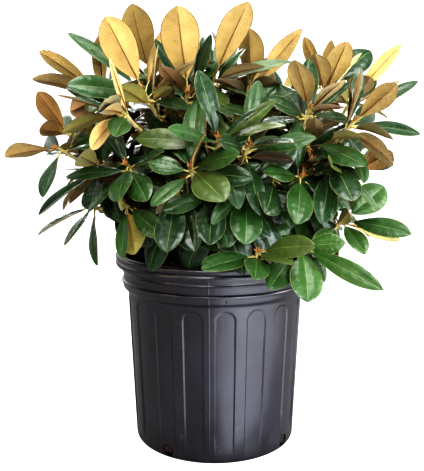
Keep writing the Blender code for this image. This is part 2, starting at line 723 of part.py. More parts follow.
def hand_set_leaves(space, mass, shoot, placed):
    axis = shoot_axis(shoot)
    for node, (azimuth, rise, length, width, roll) in enumerate(shoot.leaves):
        chord = direction(azimuth, rise)
        leaf = make_leaf(node_root(shoot, node), chord, axis, length * MM, width * MM, HAND_SET_TURN, roll)
        place_leaf(space, mass, placed, leaf, axis)


def whorled_leaves(space, mass, shoot, placed, seed):
    """Deals leaves round the shoot by the golden angle, where no other leaf lies close."""
    rng = random.Random(seed)
    axis = shoot_axis(shoot)
    side = axis.orthogonal().normalized()
    angle = rng.uniform(0, math.tau)
    node = len(shoot.leaves)
    wanted = max(sum(whorl.count for whorl in HABITS[shoot.habit]), len(placed) + EXTRA_LEAVES)
    for whorl in HABITS[shoot.habit]:
        for _ in range(whorl.count + 2):
            angle += GOLDEN_ANGLE
            spread = math.radians(whorl.spread + rng.uniform(-8, 8))
            length = whorl.length * rng.uniform(0.86, 1.12)
            roll = rng.uniform(-14, 14)
            turn = whorl.turn * rng.uniform(0.7, 1.3)
            outward = Quaternion(axis, angle) @ side
            chord = axis * math.cos(spread) + outward * math.sin(spread) - Vector((0, 0, whorl.gravity))
            chord.normalize()
            crowded = any(chord.angle(other.chord) < MIN_LEAF_ANGLE for other in placed)
            if crowded or len(placed) >= wanted:
                continue
            width = length * whorl.slenderness
            leaf = make_leaf(node_root(shoot, node), chord, axis, length, width, turn, roll)
            if place_leaf(space, mass, placed, leaf, axis):
                node += 1


# ---------------------------------------------------------------- masses

def keep_outer_shell(mesh):
    """Drops loose scraps and sealed hollows, so that one closed outer shell is left."""
    shape = bmesh.new()
    shape.from_mesh(mesh)
    bmesh.ops.triangulate(shape, faces=shape.faces[:])
    remaining = set(shape.verts)
    islands = []
    while remaining:
        stack = [remaining.pop()]
        island = set(stack)
        while stack:
            for edge in stack.pop().link_edges:
                for vert in edge.verts:
                    if vert in remaining:
                        remaining.remove(vert)
                        island.add(vert)
                        stack.append(vert)
        islands.append(island)
    largest = max(islands, key=len)
    doomed = [vert for island in islands if island is not largest for vert in island]
    bmesh.ops.delete(shape, geom=doomed, context="VERTS")
    shape.to_mesh(mesh)
    shape.free()


def mesh_object(name, vertices, faces, collection):
    mesh = bpy.data.meshes.new(name)
    mesh.from_pydata(vertices, [], faces)
    obj = bpy.data.objects.new(name, mesh)
    collection.objects.link(obj)
    return obj


def fuse_mass(name, stem, pieces, collection):
    """Joins the stem, twigs and leaves of one mass into one solid."""
    parts = new_collection(f"{name}_pieces")
    body = mesh_object(name, *stem, collection)
    for index, piece in enumerate(pieces):
        mesh_object(f"{name}_piece_{index:03d}", *piece, parts)
    boolean(body, "UNION", parts, solver="MANIFOLD")
    fused = evaluated_mesh(body)
    body.modifiers.clear()
    body.data = fused
    fused.name = name
    keep_outer_shell(fused)
    for obj in list(parts.objects):
        bpy.data.objects.remove(obj, do_unlink=True)
    bpy.data.collections.remove(parts)
    fused.materials.clear()
    fused.materials.append(make_material("leaf_green"))


def grow_masses(collection, space, masses, paths):
    """Places every twig first, then the leaves set by hand, then the whorls, then fuses each mass."""
    stems = {}
    shoots_of = {}
    leaves_of = {}
    for name, (_, shoots) in masses.items():
        end_way = (paths[name][-1] - paths[name][-2]).normalized()
        foot = paths[name][-1] + end_way * GAP
        stem_points = [foot, foot + end_way * STEM_LENGTH]
        stems[name] = [twig_shape(stem_points, [BOUGH_TIP_RADIUS, TWIG_BASE_RADIUS * STEM_SWELL])]
        space.add(name, "twig", *stems[name][0])
        twig_start = foot + end_way * STEM_LENGTH * STEM_FORK
        kept = []
        for shoot in shoots:
            for path in twig_paths(twig_start, end_way, shoot):
                radii = tapered(len(path) - 1, TWIG_BASE_RADIUS, TWIG_TIP_RADIUS) + [BUD_RADIUS]
                shape = twig_shape(path, radii)
                wide = twig_shape(path, [radius + TWIG_CLEARANCE for radius in radii])
                if space.clear_of_others(BVHTree.FromPolygons(*wide), name):
                    space.add(name, "twig", *shape)
                    stems[name].append(shape)
                    kept.append(shoot)
                    break
        shoots_of[name] = kept
        leaves_of[name] = {}
    for name, shoots in shoots_of.items():
        for number, shoot in enumerate(shoots):
            leaves_of[name][number] = []
            hand_set_leaves(space, name, shoot, leaves_of[name][number])
    for mass_number, (name, shoots) in enumerate(shoots_of.items()):
        for number, shoot in enumerate(shoots):
            seed = SEED * 1000 + mass_number * 20 + number
            whorled_leaves(space, name, shoot, leaves_of[name][number], seed)
    for name in masses:
        leaves = [leaf for placed in leaves_of[name].values() for leaf in placed]
        pieces = stems[name][1:] + [leaf_shape(leaf) for leaf in leaves]
        fuse_mass(name, stems[name][0], pieces, collection)


def build():
    clear_scene()
    plant = new_collection("potted_rhododendron")
    cutters = new_collection("cutters")
    space = Space()
    space.add_object(make_pot(plant, cutters))
    space.add_object(make_soil(plant))
    space.add_object(make_trunk(plant))
    masses = all_masses()
    paths = {name: bough_path(height, shoots) for name, (height, shoots) in masses.items()}
    for name, path in paths.items():
        space.add_object(make_bough(name.replace("foliage", "bough"), path, plant))
    grow_masses(plant, space, masses, paths)


build()
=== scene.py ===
"""Looks of the potted rhododendron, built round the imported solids.

The twigs and leaves grow by the same rule as the solids: the same shoots, the same order and the
same tests for room. Each leaf then gets its real outline, midrib, veins and felted underside. The
pot, the soil, the trunk and the boughs are remade with finer surfaces in the same places.
Units are metres, +Z is up and the front of the plant faces -Y.
"""
import json
import random
from collections import namedtuple
from math import acos, atan2, cos, degrees, hypot, pi, radians, sin, sqrt, tau

import bmesh
import bpy
import numpy as np
from mathutils import Matrix, Quaternion, Vector, noise
from mathutils.bvhtree import BVHTree

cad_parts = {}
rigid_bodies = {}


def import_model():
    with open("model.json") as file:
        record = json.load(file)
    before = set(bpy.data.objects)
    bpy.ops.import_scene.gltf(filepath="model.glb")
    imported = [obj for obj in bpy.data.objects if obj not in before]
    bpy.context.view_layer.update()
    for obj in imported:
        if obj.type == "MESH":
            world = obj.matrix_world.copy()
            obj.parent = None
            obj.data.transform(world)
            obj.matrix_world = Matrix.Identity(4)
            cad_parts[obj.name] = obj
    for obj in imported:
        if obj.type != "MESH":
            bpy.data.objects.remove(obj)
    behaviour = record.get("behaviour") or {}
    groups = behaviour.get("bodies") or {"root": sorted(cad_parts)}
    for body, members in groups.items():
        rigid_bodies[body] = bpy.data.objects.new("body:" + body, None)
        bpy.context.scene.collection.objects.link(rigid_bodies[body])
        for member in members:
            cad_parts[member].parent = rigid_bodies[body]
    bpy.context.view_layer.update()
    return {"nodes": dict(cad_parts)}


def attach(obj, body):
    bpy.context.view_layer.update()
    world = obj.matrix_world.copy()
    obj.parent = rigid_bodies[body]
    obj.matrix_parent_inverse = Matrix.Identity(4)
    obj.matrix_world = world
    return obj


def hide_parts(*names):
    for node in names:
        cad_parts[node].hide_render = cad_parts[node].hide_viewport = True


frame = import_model()

MM = 0.001
GAP = 0.0003
SEED = 31
BODY = "root"

# ---- pot
RIM_RADIUS = 0.135
POT_HEIGHT = 0.259
BASE_RADIUS = 0.1095
WALL = 0.0026
FLOOR = 0.0035
BASE_CORNER = 0.007
LIP_BOTTOM = 0.243
BAND_RADIUS = 0.1245
FLANGE_BOTTOM = 0.2095
BODY_TOP_RADIUS = 0.1185

PANEL_COUNT = 18
PANEL_AZIMUTH = -83.5
PANEL_HALF_WIDTH = 0.0138
PANEL_TOP = 0.2035
PANEL_BOTTOM = 0.013
PANEL_DEPTH = 0.0016
PANEL_EDGE = 0.0018  # width of the slope round a sunk panel

NOTCH_COUNT = 4
NOTCH_AZIMUTH = -123.5
NOTCH_RADIUS = 0.0085
NOTCH_HEIGHT = 0.0115
NOTCH_DEPTH = 0.024  # length of the bar that cuts it
NOTCH_SIDES = 28
MARK_HEIGHT = 0.217  # small round hole in the band, above one panel
MARK_RADIUS = 0.001
MARK_DEPTH = 0.012  # length of the bar that cuts it
MARK_SIDES = 14
SEAM_AZIMUTHS = (-93.5, 86.5)  # where the two halves of the mould met
SEAM_HEIGHT = 0.00028
SEAM_HALF_WIDTH = 0.1  # degrees
SHARP_ANGLE = radians(42)

# ---- soil, trunk and boughs
SOIL_TOP = 0.2285
SOIL_CLEARANCE = 0.0004
TRUNK_LEAN = (0.006, 0.004)
TRUNK_FOOT_STRAIGHT = 0.004
TRUNK_RADII = (
    (0.0, 0.0165), (0.04, 0.0150), (0.14, 0.0118), (0.40, 0.0104), (0.75, 0.0092), (1.0, 0.0080),
)
TRUNK_HEIGHT = 0.106
TRUNK_TOP_SHARE = 0.75
BOUGH_BASE_RADIUS = 0.0052
BOUGH_TIP_RADIUS = 0.0036
BOUGH_SHARE = 0.66
BOUGH_RISE = 0.75
BOUGH_NECK = 0.004
BOUGH_HANDLE = 0.38
BOUGH_POINTS = 6

# ---- twigs and leaves
STEM_LENGTH = 0.016
STEM_SWELL = 1.15
STEM_FORK = 0.6
TWIG_BASE_RADIUS = 0.0029
TWIG_TIP_RADIUS = 0.0024
TWIG_START_HANDLE = 0.35
TWIG_END_HANDLE = 0.30
TWIG_DETOURS = (
    (0, 0), (0, 0.18), (0.18, 0), (-0.18, 0), (0, -0.18), (0.3, 0.2), (-0.3, 0.2),
)
TWIG_POINTS = 5
TWIG_CLEARANCE = 0.001
SHOOT_STRAIGHT = 0.030
BUD_LENGTH = 0.007
BUD_RADIUS = 0.0009
NODE_SPACING = 0.0021
FIRST_NODE = 0.002
GOLDEN_ANGLE = radians(137.508)
LEAF_THICKNESS = 0.0017
LEAF_ROOT_SINK = 0.0012
LEAF_APEX = 0.40
LEAF_WIDEST = 0.60
STALK_END = 0.16
STALK_WIDTH = 0.0030
CLEARANCE_SWELL = 0.0012
MIN_LEAF_ANGLE = radians(24)
MIN_UPPER = 0.05
LEAF_SHORTER = (1.0, 0.86)
LEAF_TURNS = (
    (0, 0), (9, 0), (-9, 0), (0, 9), (0, -9), (18, 6), (-18, 6), (14, -10), (-14, -10),
)

# Habit of a shoot: the whorls that its leaves are dealt to, from the tip down. Each whorl has a
# leaf count, an angle off the shoot's axis, the pull of gravity, leaf length, width over length and
# the angle that the leaf turns through along its midrib.
Whorl = namedtuple("Whorl", "count spread gravity length slenderness turn")
HABITS = {
    "flush": (Whorl(3, 32, 0.0, 0.084, 0.31, 8), Whorl(5, 80, 0.15, 0.096, 0.28, 26)),
    "open": (Whorl(3, 52, 0.05, 0.080, 0.29, 14), Whorl(5, 86, 0.30, 0.096, 0.28, 30)),
    "hanging": (Whorl(3, 62, 0.25, 0.078, 0.32, 20), Whorl(5, 88, 1.15, 0.096, 0.36, 34)),
    "set": (),
    "spur": (Whorl(5, 68, 0.20, 0.066, 0.30, 24),),
}
EXTRA_LEAVES = 2  # dealt at least to a shoot whose leaves are mostly listed
HAND_SET_TURN = 16  # degrees that a listed leaf turns through

# A shoot stands at (x, y, z) in millimetres. Its axis leans by `tilt` degrees from upright towards
# `azimuth` (0 is +X, 90 is +Y). The listed leaves are (azimuth, rise, length, width) and, where the
# blade is rolled about its chord, the roll. The rest of its leaves follow from its habit.
Shoot = namedtuple("Shoot", "x y z azimuth tilt habit leaves")

# Each mass: height on the trunk of its bough in millimetres above the soil, then its shoots.
FRONT_MASSES = {
    "foliage_upper_left": (76, (
        Shoot(-88, -70, 470, 205, 30, "flush", (
            (241, 51, 108, 42), (47, 62, 100, 26, -75), (176, 39, 122, 26, 5), (212, 8, 104, 30, -55),
            (334, 33, 80, 20, -40), (324, -16, 95, 24), (316, -7, 75, 20), (315, 24, 45, 16, -50),
            (85, 55, 50, 18), (151, 23, 60, 18), (230, 20, 66, 28, 10))),
        Shoot(-111, -108, 447, 215, 45, "flush", (
            (262, 8, 70, 28), (192, -18, 76, 28, 40), (244, -27, 80, 22, 70), (251, 13, 60, 22),
            (263, -19, 70, 26, -60))),
        Shoot(-86, 10, 495, 150, 20, "flush", ((246, 56, 101, 40), (78, 35, 82, 24))),
        Shoot(-152, -15, 471, 180, 40, "open", (
            (173, 38, 102, 26, 30), (219, 31, 98, 20), (222, 9, 102, 32), (246, -15, 76, 26, 60),
            (252, -23, 60, 24, -60))),
    )),
    "foliage_top": (106, (
        Shoot(-33, -60, 469, 250, 22, "flush", ((262, 58, 114, 46),)),
        Shoot(-1, -20, 490, 330, 14, "flush", (
            (309, 50, 112, 44), (66, 44, 88, 30), (314, 10, 88, 26), (8, 16, 108, 26, 25),
            (275, -24, 80, 30), (310, -12, 85, 26), (22, 17, 88, 18))),
        Shoot(48, 30, 476, 20, 20, "flush", ((264, 61, 90, 38), (6, 48, 112, 34, -50), (293, 10, 80, 28))),
    )),
    "foliage_upper_right": (76, (
        Shoot(115, -80, 447, 300, 26, "flush", (
            (248, 45, 80, 34, 35), (295, 24, 86, 26), (292, 5, 80, 26), (39, -4, 85, 24),
            (231, 12, 86, 22, -45), (226, -4, 90, 22), (117, 38, 76, 28, -20))),
        Shoot(147, 0, 475, 20, 20, "flush", (
            (30, 36, 95, 38, 35), (86, 38, 85, 30), (246, 40, 74, 28), (292, 50, 84, 32))),
        Shoot(190, 50, 462, 20, 34, "flush", (
            (13, 48, 110, 22, -60), (282, 22, 80, 24), (247, 13, 66, 24, 60))),
        Shoot(173, -60, 432, 340, 40, "flush", (
            (297, 26, 95, 26), (17, 30, 110, 20, -25), (11, -4, 95, 24, 25), (294, -8, 90, 26),
            (53, 18, 80, 26), (296, -20, 98, 32, -50), (281, -42, 90, 26))),
    )),
    "foliage_right": (58, (
        Shoot(124, -52, 410, 330, 40, "open", ((307, -19, 104, 34, 50),)),
        Shoot(145, -92, 385, 320, 55, "set", (
            (278, -28, 86, 34, 45), (313, -38, 84, 28), (48, 26, 78, 26), (264, 0, 78, 26),
            (255, -46, 88, 32), (50, -45, 84, 30), (207, -38, 98, 36))),
        Shoot(104, -104, 368, 300, 60, "hanging", ((259, -36, 82, 34),)),
        Shoot(190, -22, 372, 352, 62, "set", (
            (60, 10, 84, 28), (20, 12, 60, 24), (120, 20, 80, 28), (300, 22, 76, 28), (235, 20, 70, 28),
            (85, 4, 80, 30))),
    )),
    "foliage_lower_right": (22, (
        Shoot(159, -100, 315, 322, 52, "set", (
            (42, 24, 90, 38), (314, -3, 95, 26, 40), (288, -27, 66, 24, 30), (338, -12, 74, 22, -60),
            (105, 24, 76, 28), (241, -22, 82, 32), (240, 40, 42, 18), (284, 34, 44, 18), (200, 52, 38, 16),
            (150, 2, 80, 28), (205, -4, 84, 28), (80, 0, 80, 28))),
        Shoot(49, -155, 284, 280, 48, "set", (
            (322, 14, 80, 28), (299, -2, 66, 26), (265, -16, 60, 30), (223, -3, 85, 30), (165, 16, 84, 30),
            (75, 26, 80, 30))),
        Shoot(101, -148, 292, 300, 55, "set", (
            (272, -46, 76, 38), (314, -16, 118, 22, 45), (332, 10, 56, 24, 30), (336, -48, 50, 22, 20),
            (70, 24, 78, 28), (228, -20, 74, 30))),
    )),
    "foliage_front": (76, (
        Shoot(-27, -160, 381, 265, 58, "hanging", (
            (298, -20, 85, 38), (317, 15, 75, 26), (290, 42, 62, 34, -40), (118, 32, 70, 18, 30),
            (172, 14, 52, 22))),
        Shoot(4, -140, 412, 275, 40, "open", ((322, 12, 95, 26), (308, 27, 72, 22))),
        Shoot(38, -134, 404, 290, 48, "open", ((306, 6, 82, 32),)),
        Shoot(-34, -75, 464, 290, 30, "set", (
            (312, -17, 88, 24), (302, 20, 60, 18), (293, -51, 62, 22), (300, -3, 50, 18), (120, 34, 76, 26),
            (60, 25, 80, 26))),
        Shoot(26, -44, 440, 300, 28, "open", ((244, -29, 74, 26),)),
    )),
    "foliage_front_low": (40, (
        Shoot(-45, -120, 353, 255, 66, "hanging", ((260, -55, 82, 36), (300, -56, 80, 36))),
        Shoot(-2, -130, 352, 268, 66, "hanging", ((266, -44, 78, 34), (286, -46, 80, 38))),
        Shoot(36, -126, 354, 282, 66, "hanging", ((271, -45, 80, 38),)),
        Shoot(70, -110, 366, 300, 60, "hanging", ((262, -25, 82, 36),)),
    )),
    "foliage_left": (40, (
        Shoot(-145, -62, 378, 215, 50, "set", (
            (257, 12, 72, 28), (262, -45, 68, 38), (87, 37, 80, 28, 30), (191, -33, 100, 24),
            (300, -40, 84, 30), (330, -10, 84, 30), (30, 0, 80, 28), (140, 25, 76, 26))),
        Shoot(-203, -30, 398, 190, 60, "set", (
            (158, -6, 92, 30, 60), (263, -39, 85, 22, -25), (120, 10, 76, 26), (330, 14, 76, 26),
            (60, 25, 76, 28), (300, 38, 60, 24))),
        Shoot(-196, 0, 418, 170, 40, "set", (
            (227, 47, 72, 26), (225, 10, 48, 26), (110, 20, 80, 28), (50, 34, 80, 28), (320, 30, 70, 26),
            (10, 10, 76, 28))),
        Shoot(-160, -60, 328, 205, 68, "set", (
            (100, 10, 70, 22), (233, -17, 92, 18, -40), (254, -26, 85, 20, -30), (281, -52, 84, 20),
            (120, 20, 80, 30), (80, 0, 76, 28), (310, 6, 62, 28))),
    )),
    "foliage_lower_left": (22, (
        Shoot(-105, -102, 381, 235, 52, "hanging", (
            (267, -28, 76, 32), (294, -27, 76, 30), (311, 17, 70, 26))),
        Shoot(-108, -112, 334, 240, 68, "set", (
            (296, -58, 64, 38, 180), (270, -46, 78, 18), (312, -34, 72, 26), (330, -10, 80, 30),
            (250, 24, 60, 28), (160, -14, 70, 26), (110, 4, 76, 28))),
    )),
}

# The far half of the crown is filled by rule: rings of shoots round the trunk, each ring with a
# height, a distance from the trunk, a tilt and a habit. Each mass has a bough height and takes the
# shoots of the rings that stand at its azimuths.
Ring = namedtuple("Ring", "height radius tilt habit")
RINGS = {
    "low": Ring(326, 168, 66, "hanging"),
    "waist": Ring(390, 150, 34, "open"),
    "middle": Ring(385, 172, 50, "open"),
    "high": Ring(440, 132, 30, "flush"),
    "crown": Ring(476, 66, 14, "flush"),
}
BACK_MASSES = {
    "foliage_back_right": (40, (("low", 8), ("middle", 26), ("low", 40), ("high", 44))),
    "foliage_back_mid_right": (58, (("low", 70), ("middle", 58), ("high", 76), ("middle", 88))),
    "foliage_back_mid_left": (22, (("low", 102), ("middle", 118), ("low", 126), ("high", 110))),
    "foliage_back_left": (58, (("middle", 148), ("high", 144), ("waist", 158), ("waist", 178))),
    "foliage_back_top": (92, (("crown", 65), ("crown", 128))),
}
RING_SCATTER = 9  # millimetres that a shoot may stand off its ring


# ---- the rule of growth

def polar(azimuth, radius, height=0.0):
    angle = radians(azimuth)
    return Vector((radius * cos(angle), radius * sin(angle), height))


def direction(azimuth, rise):
    """Unit vector at an azimuth and a rise above the level, both in degrees."""
    return polar(azimuth, cos(radians(rise)), sin(radians(rise)))


def bezier(start, start_handle, end_handle, end, count):
    points = []
    for step in range(count):
        t = step / (count - 1)
        s = 1.0 - t
        points.append(
            start * s ** 3 + start_handle * 3 * s * s * t + end_handle * 3 * s * t * t + end * t ** 3
        )
    return points


def trunk_point(height):
    """A point of the trunk's axis at a height above the soil."""
    share = max(height - TRUNK_FOOT_STRAIGHT, 0.0) / (TRUNK_HEIGHT - TRUNK_FOOT_STRAIGHT)
    bend = share * share
    return Vector((TRUNK_LEAN[0] * bend, TRUNK_LEAN[1] * bend, SOIL_TOP + GAP + height))


def trunk_radius(height):
    share = height / TRUNK_HEIGHT
    for (low, low_radius), (high, high_radius) in zip(TRUNK_RADII, TRUNK_RADII[1:]):
        if share <= high:
            return low_radius + (high_radius - low_radius) * (share - low) / (high - low)
    return TRUNK_RADII[-1][1]


def shoot_point(shoot):
    return Vector((shoot.x, shoot.y, shoot.z)) * MM


def shoot_axis(shoot):
    return direction(shoot.azimuth, 90 - shoot.tilt)


def ring_shoots(mass_index, places):
    """Shoots of the far half, set on their rings with a small seeded scatter."""
    rng = random.Random(SEED * 100 + mass_index)
    shoots = []
    for ring_name, azimuth in places:
        ring = RINGS[ring_name]
        spot = polar(azimuth, ring.radius + rng.uniform(-RING_SCATTER, RING_SCATTER))
        height = ring.height + rng.uniform(-RING_SCATTER, RING_SCATTER)
        lean = azimuth + rng.uniform(-12, 12)
        shoots.append(Shoot(spot.x, spot.y, height, lean, ring.tilt, ring.habit, ()))
    return tuple(shoots)


def all_masses():
    masses = dict(FRONT_MASSES)
    for mass_index, (name, (height, places)) in enumerate(BACK_MASSES.items()):
        masses[name] = (height, ring_shoots(mass_index, places))
    return masses


def bough_path(height, shoots):
    """Points of the limb from the trunk to where its mass begins.

    The upper edge of its flat start stands GAP off the trunk's side at the given height.
    """
    necks = [shoot_point(shoot) - shoot_axis(shoot) * SHOOT_STRAIGHT for shoot in shoots]
    middle = sum(necks, Vector()) / len(necks)
    height *= MM
    if height >= TRUNK_HEIGHT:
        start_way = (trunk_point(TRUNK_HEIGHT) - trunk_point(TRUNK_HEIGHT * TRUNK_TOP_SHARE)).normalized()
        start = trunk_point(TRUNK_HEIGHT) + start_way * GAP
    else:
        aim = middle - trunk_point(height)
        outward = Vector((aim.x, aim.y, 0.0)).normalized()
        start_way = (outward + Vector((0, 0, BOUGH_RISE))).normalized()
        upper_edge = (Vector((0, 0, 1)) - start_way * start_way.z).normalized()
        contact = trunk_point(height) + outward * (trunk_radius(height) + GAP)
        start = contact - upper_edge * BOUGH_BASE_RADIUS
    end = start.lerp(middle, BOUGH_SHARE)
    end_way = (middle - end).normalized()
    neck = start + start_way * BOUGH_NECK
    handle = (end - neck).length * BOUGH_HANDLE
    return [start] + bezier(neck, neck + start_way * handle, end - end_way * handle, end, BOUGH_POINTS)


Placed = namedtuple("Placed", "mass kind tree")


class Space:
    """Keeps the solids placed so far, so that a new twig or leaf can be tested against them."""

    def __init__(self):
        self.items = []

    def add(self, mass, kind, vertices, faces):
        self.items.append(Placed(mass, kind, BVHTree.FromPolygons(vertices, faces)))

    def add_node(self, node):
        vertices = [vert.co.copy() for vert in node.data.vertices]
        faces = [tuple(face.vertices) for face in node.data.polygons]
        self.add("", "solid", vertices, faces)

    def clear_of_others(self, tree, mass):
        """True if a solid of this mass touches nothing that belongs to another node."""
        others = (item for item in self.items if item.mass != mass and item.kind != "blade")
        return not any(item.tree.overlap(tree) for item in others)

    def clear_of_own(self, blade, mass):
        """True if a leaf blade of this mass crosses no twig and no other blade of it."""
        own = (item for item in self.items if item.mass == mass and item.kind in ("twig", "blade"))
        return not any(item.tree.overlap(blade) for item in own)


def twig_shape(points, radii):
    """A three-sided tapering twig as vertices and faces."""
    vertices = []
    faces = []
    side = None
    for index, (point, radius) in enumerate(zip(points, radii)):
        ahead = points[min(index + 1, len(points) - 1)]
        behind = points[max(index - 1, 0)]
        way = (ahead - behind).normalized()
        if side is None:
            side = way.orthogonal().normalized()
        side = (side - way * side.dot(way)).normalized()
        other = way.cross(side)
        for corner in range(3):
            angle = corner * tau / 3
            vertices.append(point + (side * cos(angle) + other * sin(angle)) * radius)
        if index:
            base = 3 * index
            for corner in range(3):
                after = (corner + 1) % 3
                faces.append((base - 3 + corner, base - 3 + after, base + after, base + corner))
    faces.append((2, 1, 0))
    top = 3 * (len(points) - 1)
    faces.append((top, top + 1, top + 2))
    return vertices, faces


def tapered(count, first, last):
    return [first + (last - first) * index / (count - 1) for index in range(count)]


def twig_paths(stem_end, stem_way, shoot):
    """Candidate paths from the mass's stem to a shoot, the plainest first."""
    tip = shoot_point(shoot)
    axis = shoot_axis(shoot)
    neck = tip - axis * SHOOT_STRAIGHT
    span = (neck - stem_end).length
    across = stem_way.cross(neck - stem_end)
    across = across.normalized() if across.length > 1e-6 else stem_way.orthogonal().normalized()
    upward = across.cross((neck - stem_end).normalized())
    for sideways, lift in TWIG_DETOURS:
        shift = (across * sideways + upward * lift) * span
        start_handle = stem_end + stem_way * span * TWIG_START_HANDLE + shift
        end_handle = neck - axis * span * TWIG_END_HANDLE + shift
        curve = bezier(stem_end, start_handle, end_handle, neck, TWIG_POINTS)
        yield curve + [tip, tip + axis * BUD_LENGTH]


Leaf = namedtuple("Leaf", "root chord upper length width turn")


def leaf_point(leaf, share):
    """A point of the midrib, which is an arc that turns through `turn` over the leaf's length."""
    radius = leaf.length / leaf.turn
    half = leaf.turn / 2
    along = radius * (sin(half) + sin(leaf.turn * share - half))
    above = radius * (cos(leaf.turn * share - half) - cos(half))
    return leaf.root + leaf.chord * along + leaf.upper * above


def leaf_shape(leaf, start=None, swell=0.0):
    """A thin solid leaf: a hexagon outline that thins from a ridge on each face to its edge."""
    side = leaf.chord.cross(leaf.upper)
    if start is None:
        root = leaf.root - leaf.chord * LEAF_ROOT_SINK
    else:
        root = leaf_point(leaf, start)
    apex = leaf_point(leaf, LEAF_APEX)
    half = LEAF_THICKNESS / 2 + swell
    stalk_side = side * (STALK_WIDTH / 2 + swell)
    blade_side = side * (leaf.width / 2 + swell)
    stalk_end = leaf_point(leaf, STALK_END + 0.01)
    widest = leaf_point(leaf, LEAF_WIDEST)
    tip = leaf_point(leaf, 1.0) + leaf.chord * swell
    vertices = [
        root,
        stalk_end - stalk_side,
        widest - blade_side,
        tip,
        widest + blade_side,
        stalk_end + stalk_side,
    ]
    rim = len(vertices)
    vertices += [apex + leaf.upper * half, apex - leaf.upper * half]
    faces = []
    for index in range(rim):
        after = (index + 1) % rim
        faces.append((after, index, rim))
        faces.append((index, after, rim + 1))
    return vertices, faces


def make_leaf(root, chord, axis, length, width, turn, roll=0):
    """The upper face looks towards the shoot's axis, then the blade is rolled about its chord."""
    upper = axis - chord * axis.dot(chord)
    if upper.length < MIN_UPPER:
        upper = Vector((0, 0, 1)) - chord * chord.z
    upper = Quaternion(chord, radians(roll)) @ upper.normalized()
    return Leaf(root, chord, upper, length, width, radians(turn))


def leaf_fits(space, mass, leaf):
    wide = BVHTree.FromPolygons(*leaf_shape(leaf, swell=CLEARANCE_SWELL))
    if not space.clear_of_others(wide, mass):
        return False
    blade = BVHTree.FromPolygons(*leaf_shape(leaf, start=STALK_END))
    return space.clear_of_own(blade, mass)


def tries_for(leaf, axis):
    """The leaf as drawn, then turned round its shoot, raised, lowered and shortened."""
    side = leaf.chord.cross(leaf.upper)
    for shorter in LEAF_SHORTER:
        for swing, raise_by in LEAF_TURNS:
            turn = Quaternion(axis, radians(swing)) @ Quaternion(side, radians(raise_by))
            yield leaf._replace(
                chord=turn @ leaf.chord, upper=turn @ leaf.upper, length=leaf.length * shorter
            )


def place_leaf(space, mass, placed, leaf, axis):
    for candidate in tries_for(leaf, axis):
        if leaf_fits(space, mass, candidate):
            placed.append(candidate)
            space.add(mass, "leaf", *leaf_shape(candidate))
            space.add(mass, "blade", *leaf_shape(candidate, start=STALK_END))
            return True
    return False


def node_root(shoot, node):
    return shoot_point(shoot) - shoot_axis(shoot) * (FIRST_NODE + node * NODE_SPACING)


def twig_fits(space, mass, path, radii):
    wide = twig_shape(path, [radius + TWIG_CLEARANCE for radius in radii])
    return space.clear_of_others(BVHTree.FromPolygons(*wide), mass)


def hand_set_leaves(space, mass, shoot, placed):
    axis = shoot_axis(shoot)
    for node, (azimuth, rise, length, width, *roll) in enumerate(shoot.leaves):
        chord = direction(azimuth, rise)
        leaf = make_leaf(node_root(shoot, node), chord, axis, length * MM, width * MM, HAND_SET_TURN, *roll)
        place_leaf(space, mass, placed, leaf, axis)


def whorled_leaves(space, mass, shoot, placed, seed):
    """Deals leaves round the shoot by the golden angle, where no other leaf lies close."""
    rng = random.Random(seed)
    axis = shoot_axis(shoot)
    side = axis.orthogonal().normalized()
    angle = rng.uniform(0, tau)
    node = len(shoot.leaves)
    wanted = max(sum(whorl.count for whorl in HABITS[shoot.habit]), len(placed) + EXTRA_LEAVES)
    for whorl in HABITS[shoot.habit]:
        for _ in range(whorl.count + 2):
            angle += GOLDEN_ANGLE
            spread = radians(whorl.spread + rng.uniform(-8, 8))
            length = whorl.length * rng.uniform(0.86, 1.12)
            roll = rng.uniform(-14, 14)
            turn = whorl.turn * rng.uniform(0.7, 1.3)
            outward = Quaternion(axis, angle) @ side
            chord = axis * cos(spread) + outward * sin(spread) - Vector((0, 0, whorl.gravity))
            chord.normalize()
            crowded = any(chord.angle(other.chord) < MIN_LEAF_ANGLE for other in placed)
            if crowded or len(placed) >= wanted:
                continue
            width = length * whorl.slenderness
            leaf = make_leaf(node_root(shoot, node), chord, axis, length, width, turn, roll)
            if place_leaf(space, mass, placed, leaf, axis):
                node += 1


# ---- growing

Grown = namedtuple("Grown", "twigs shoots leaves")


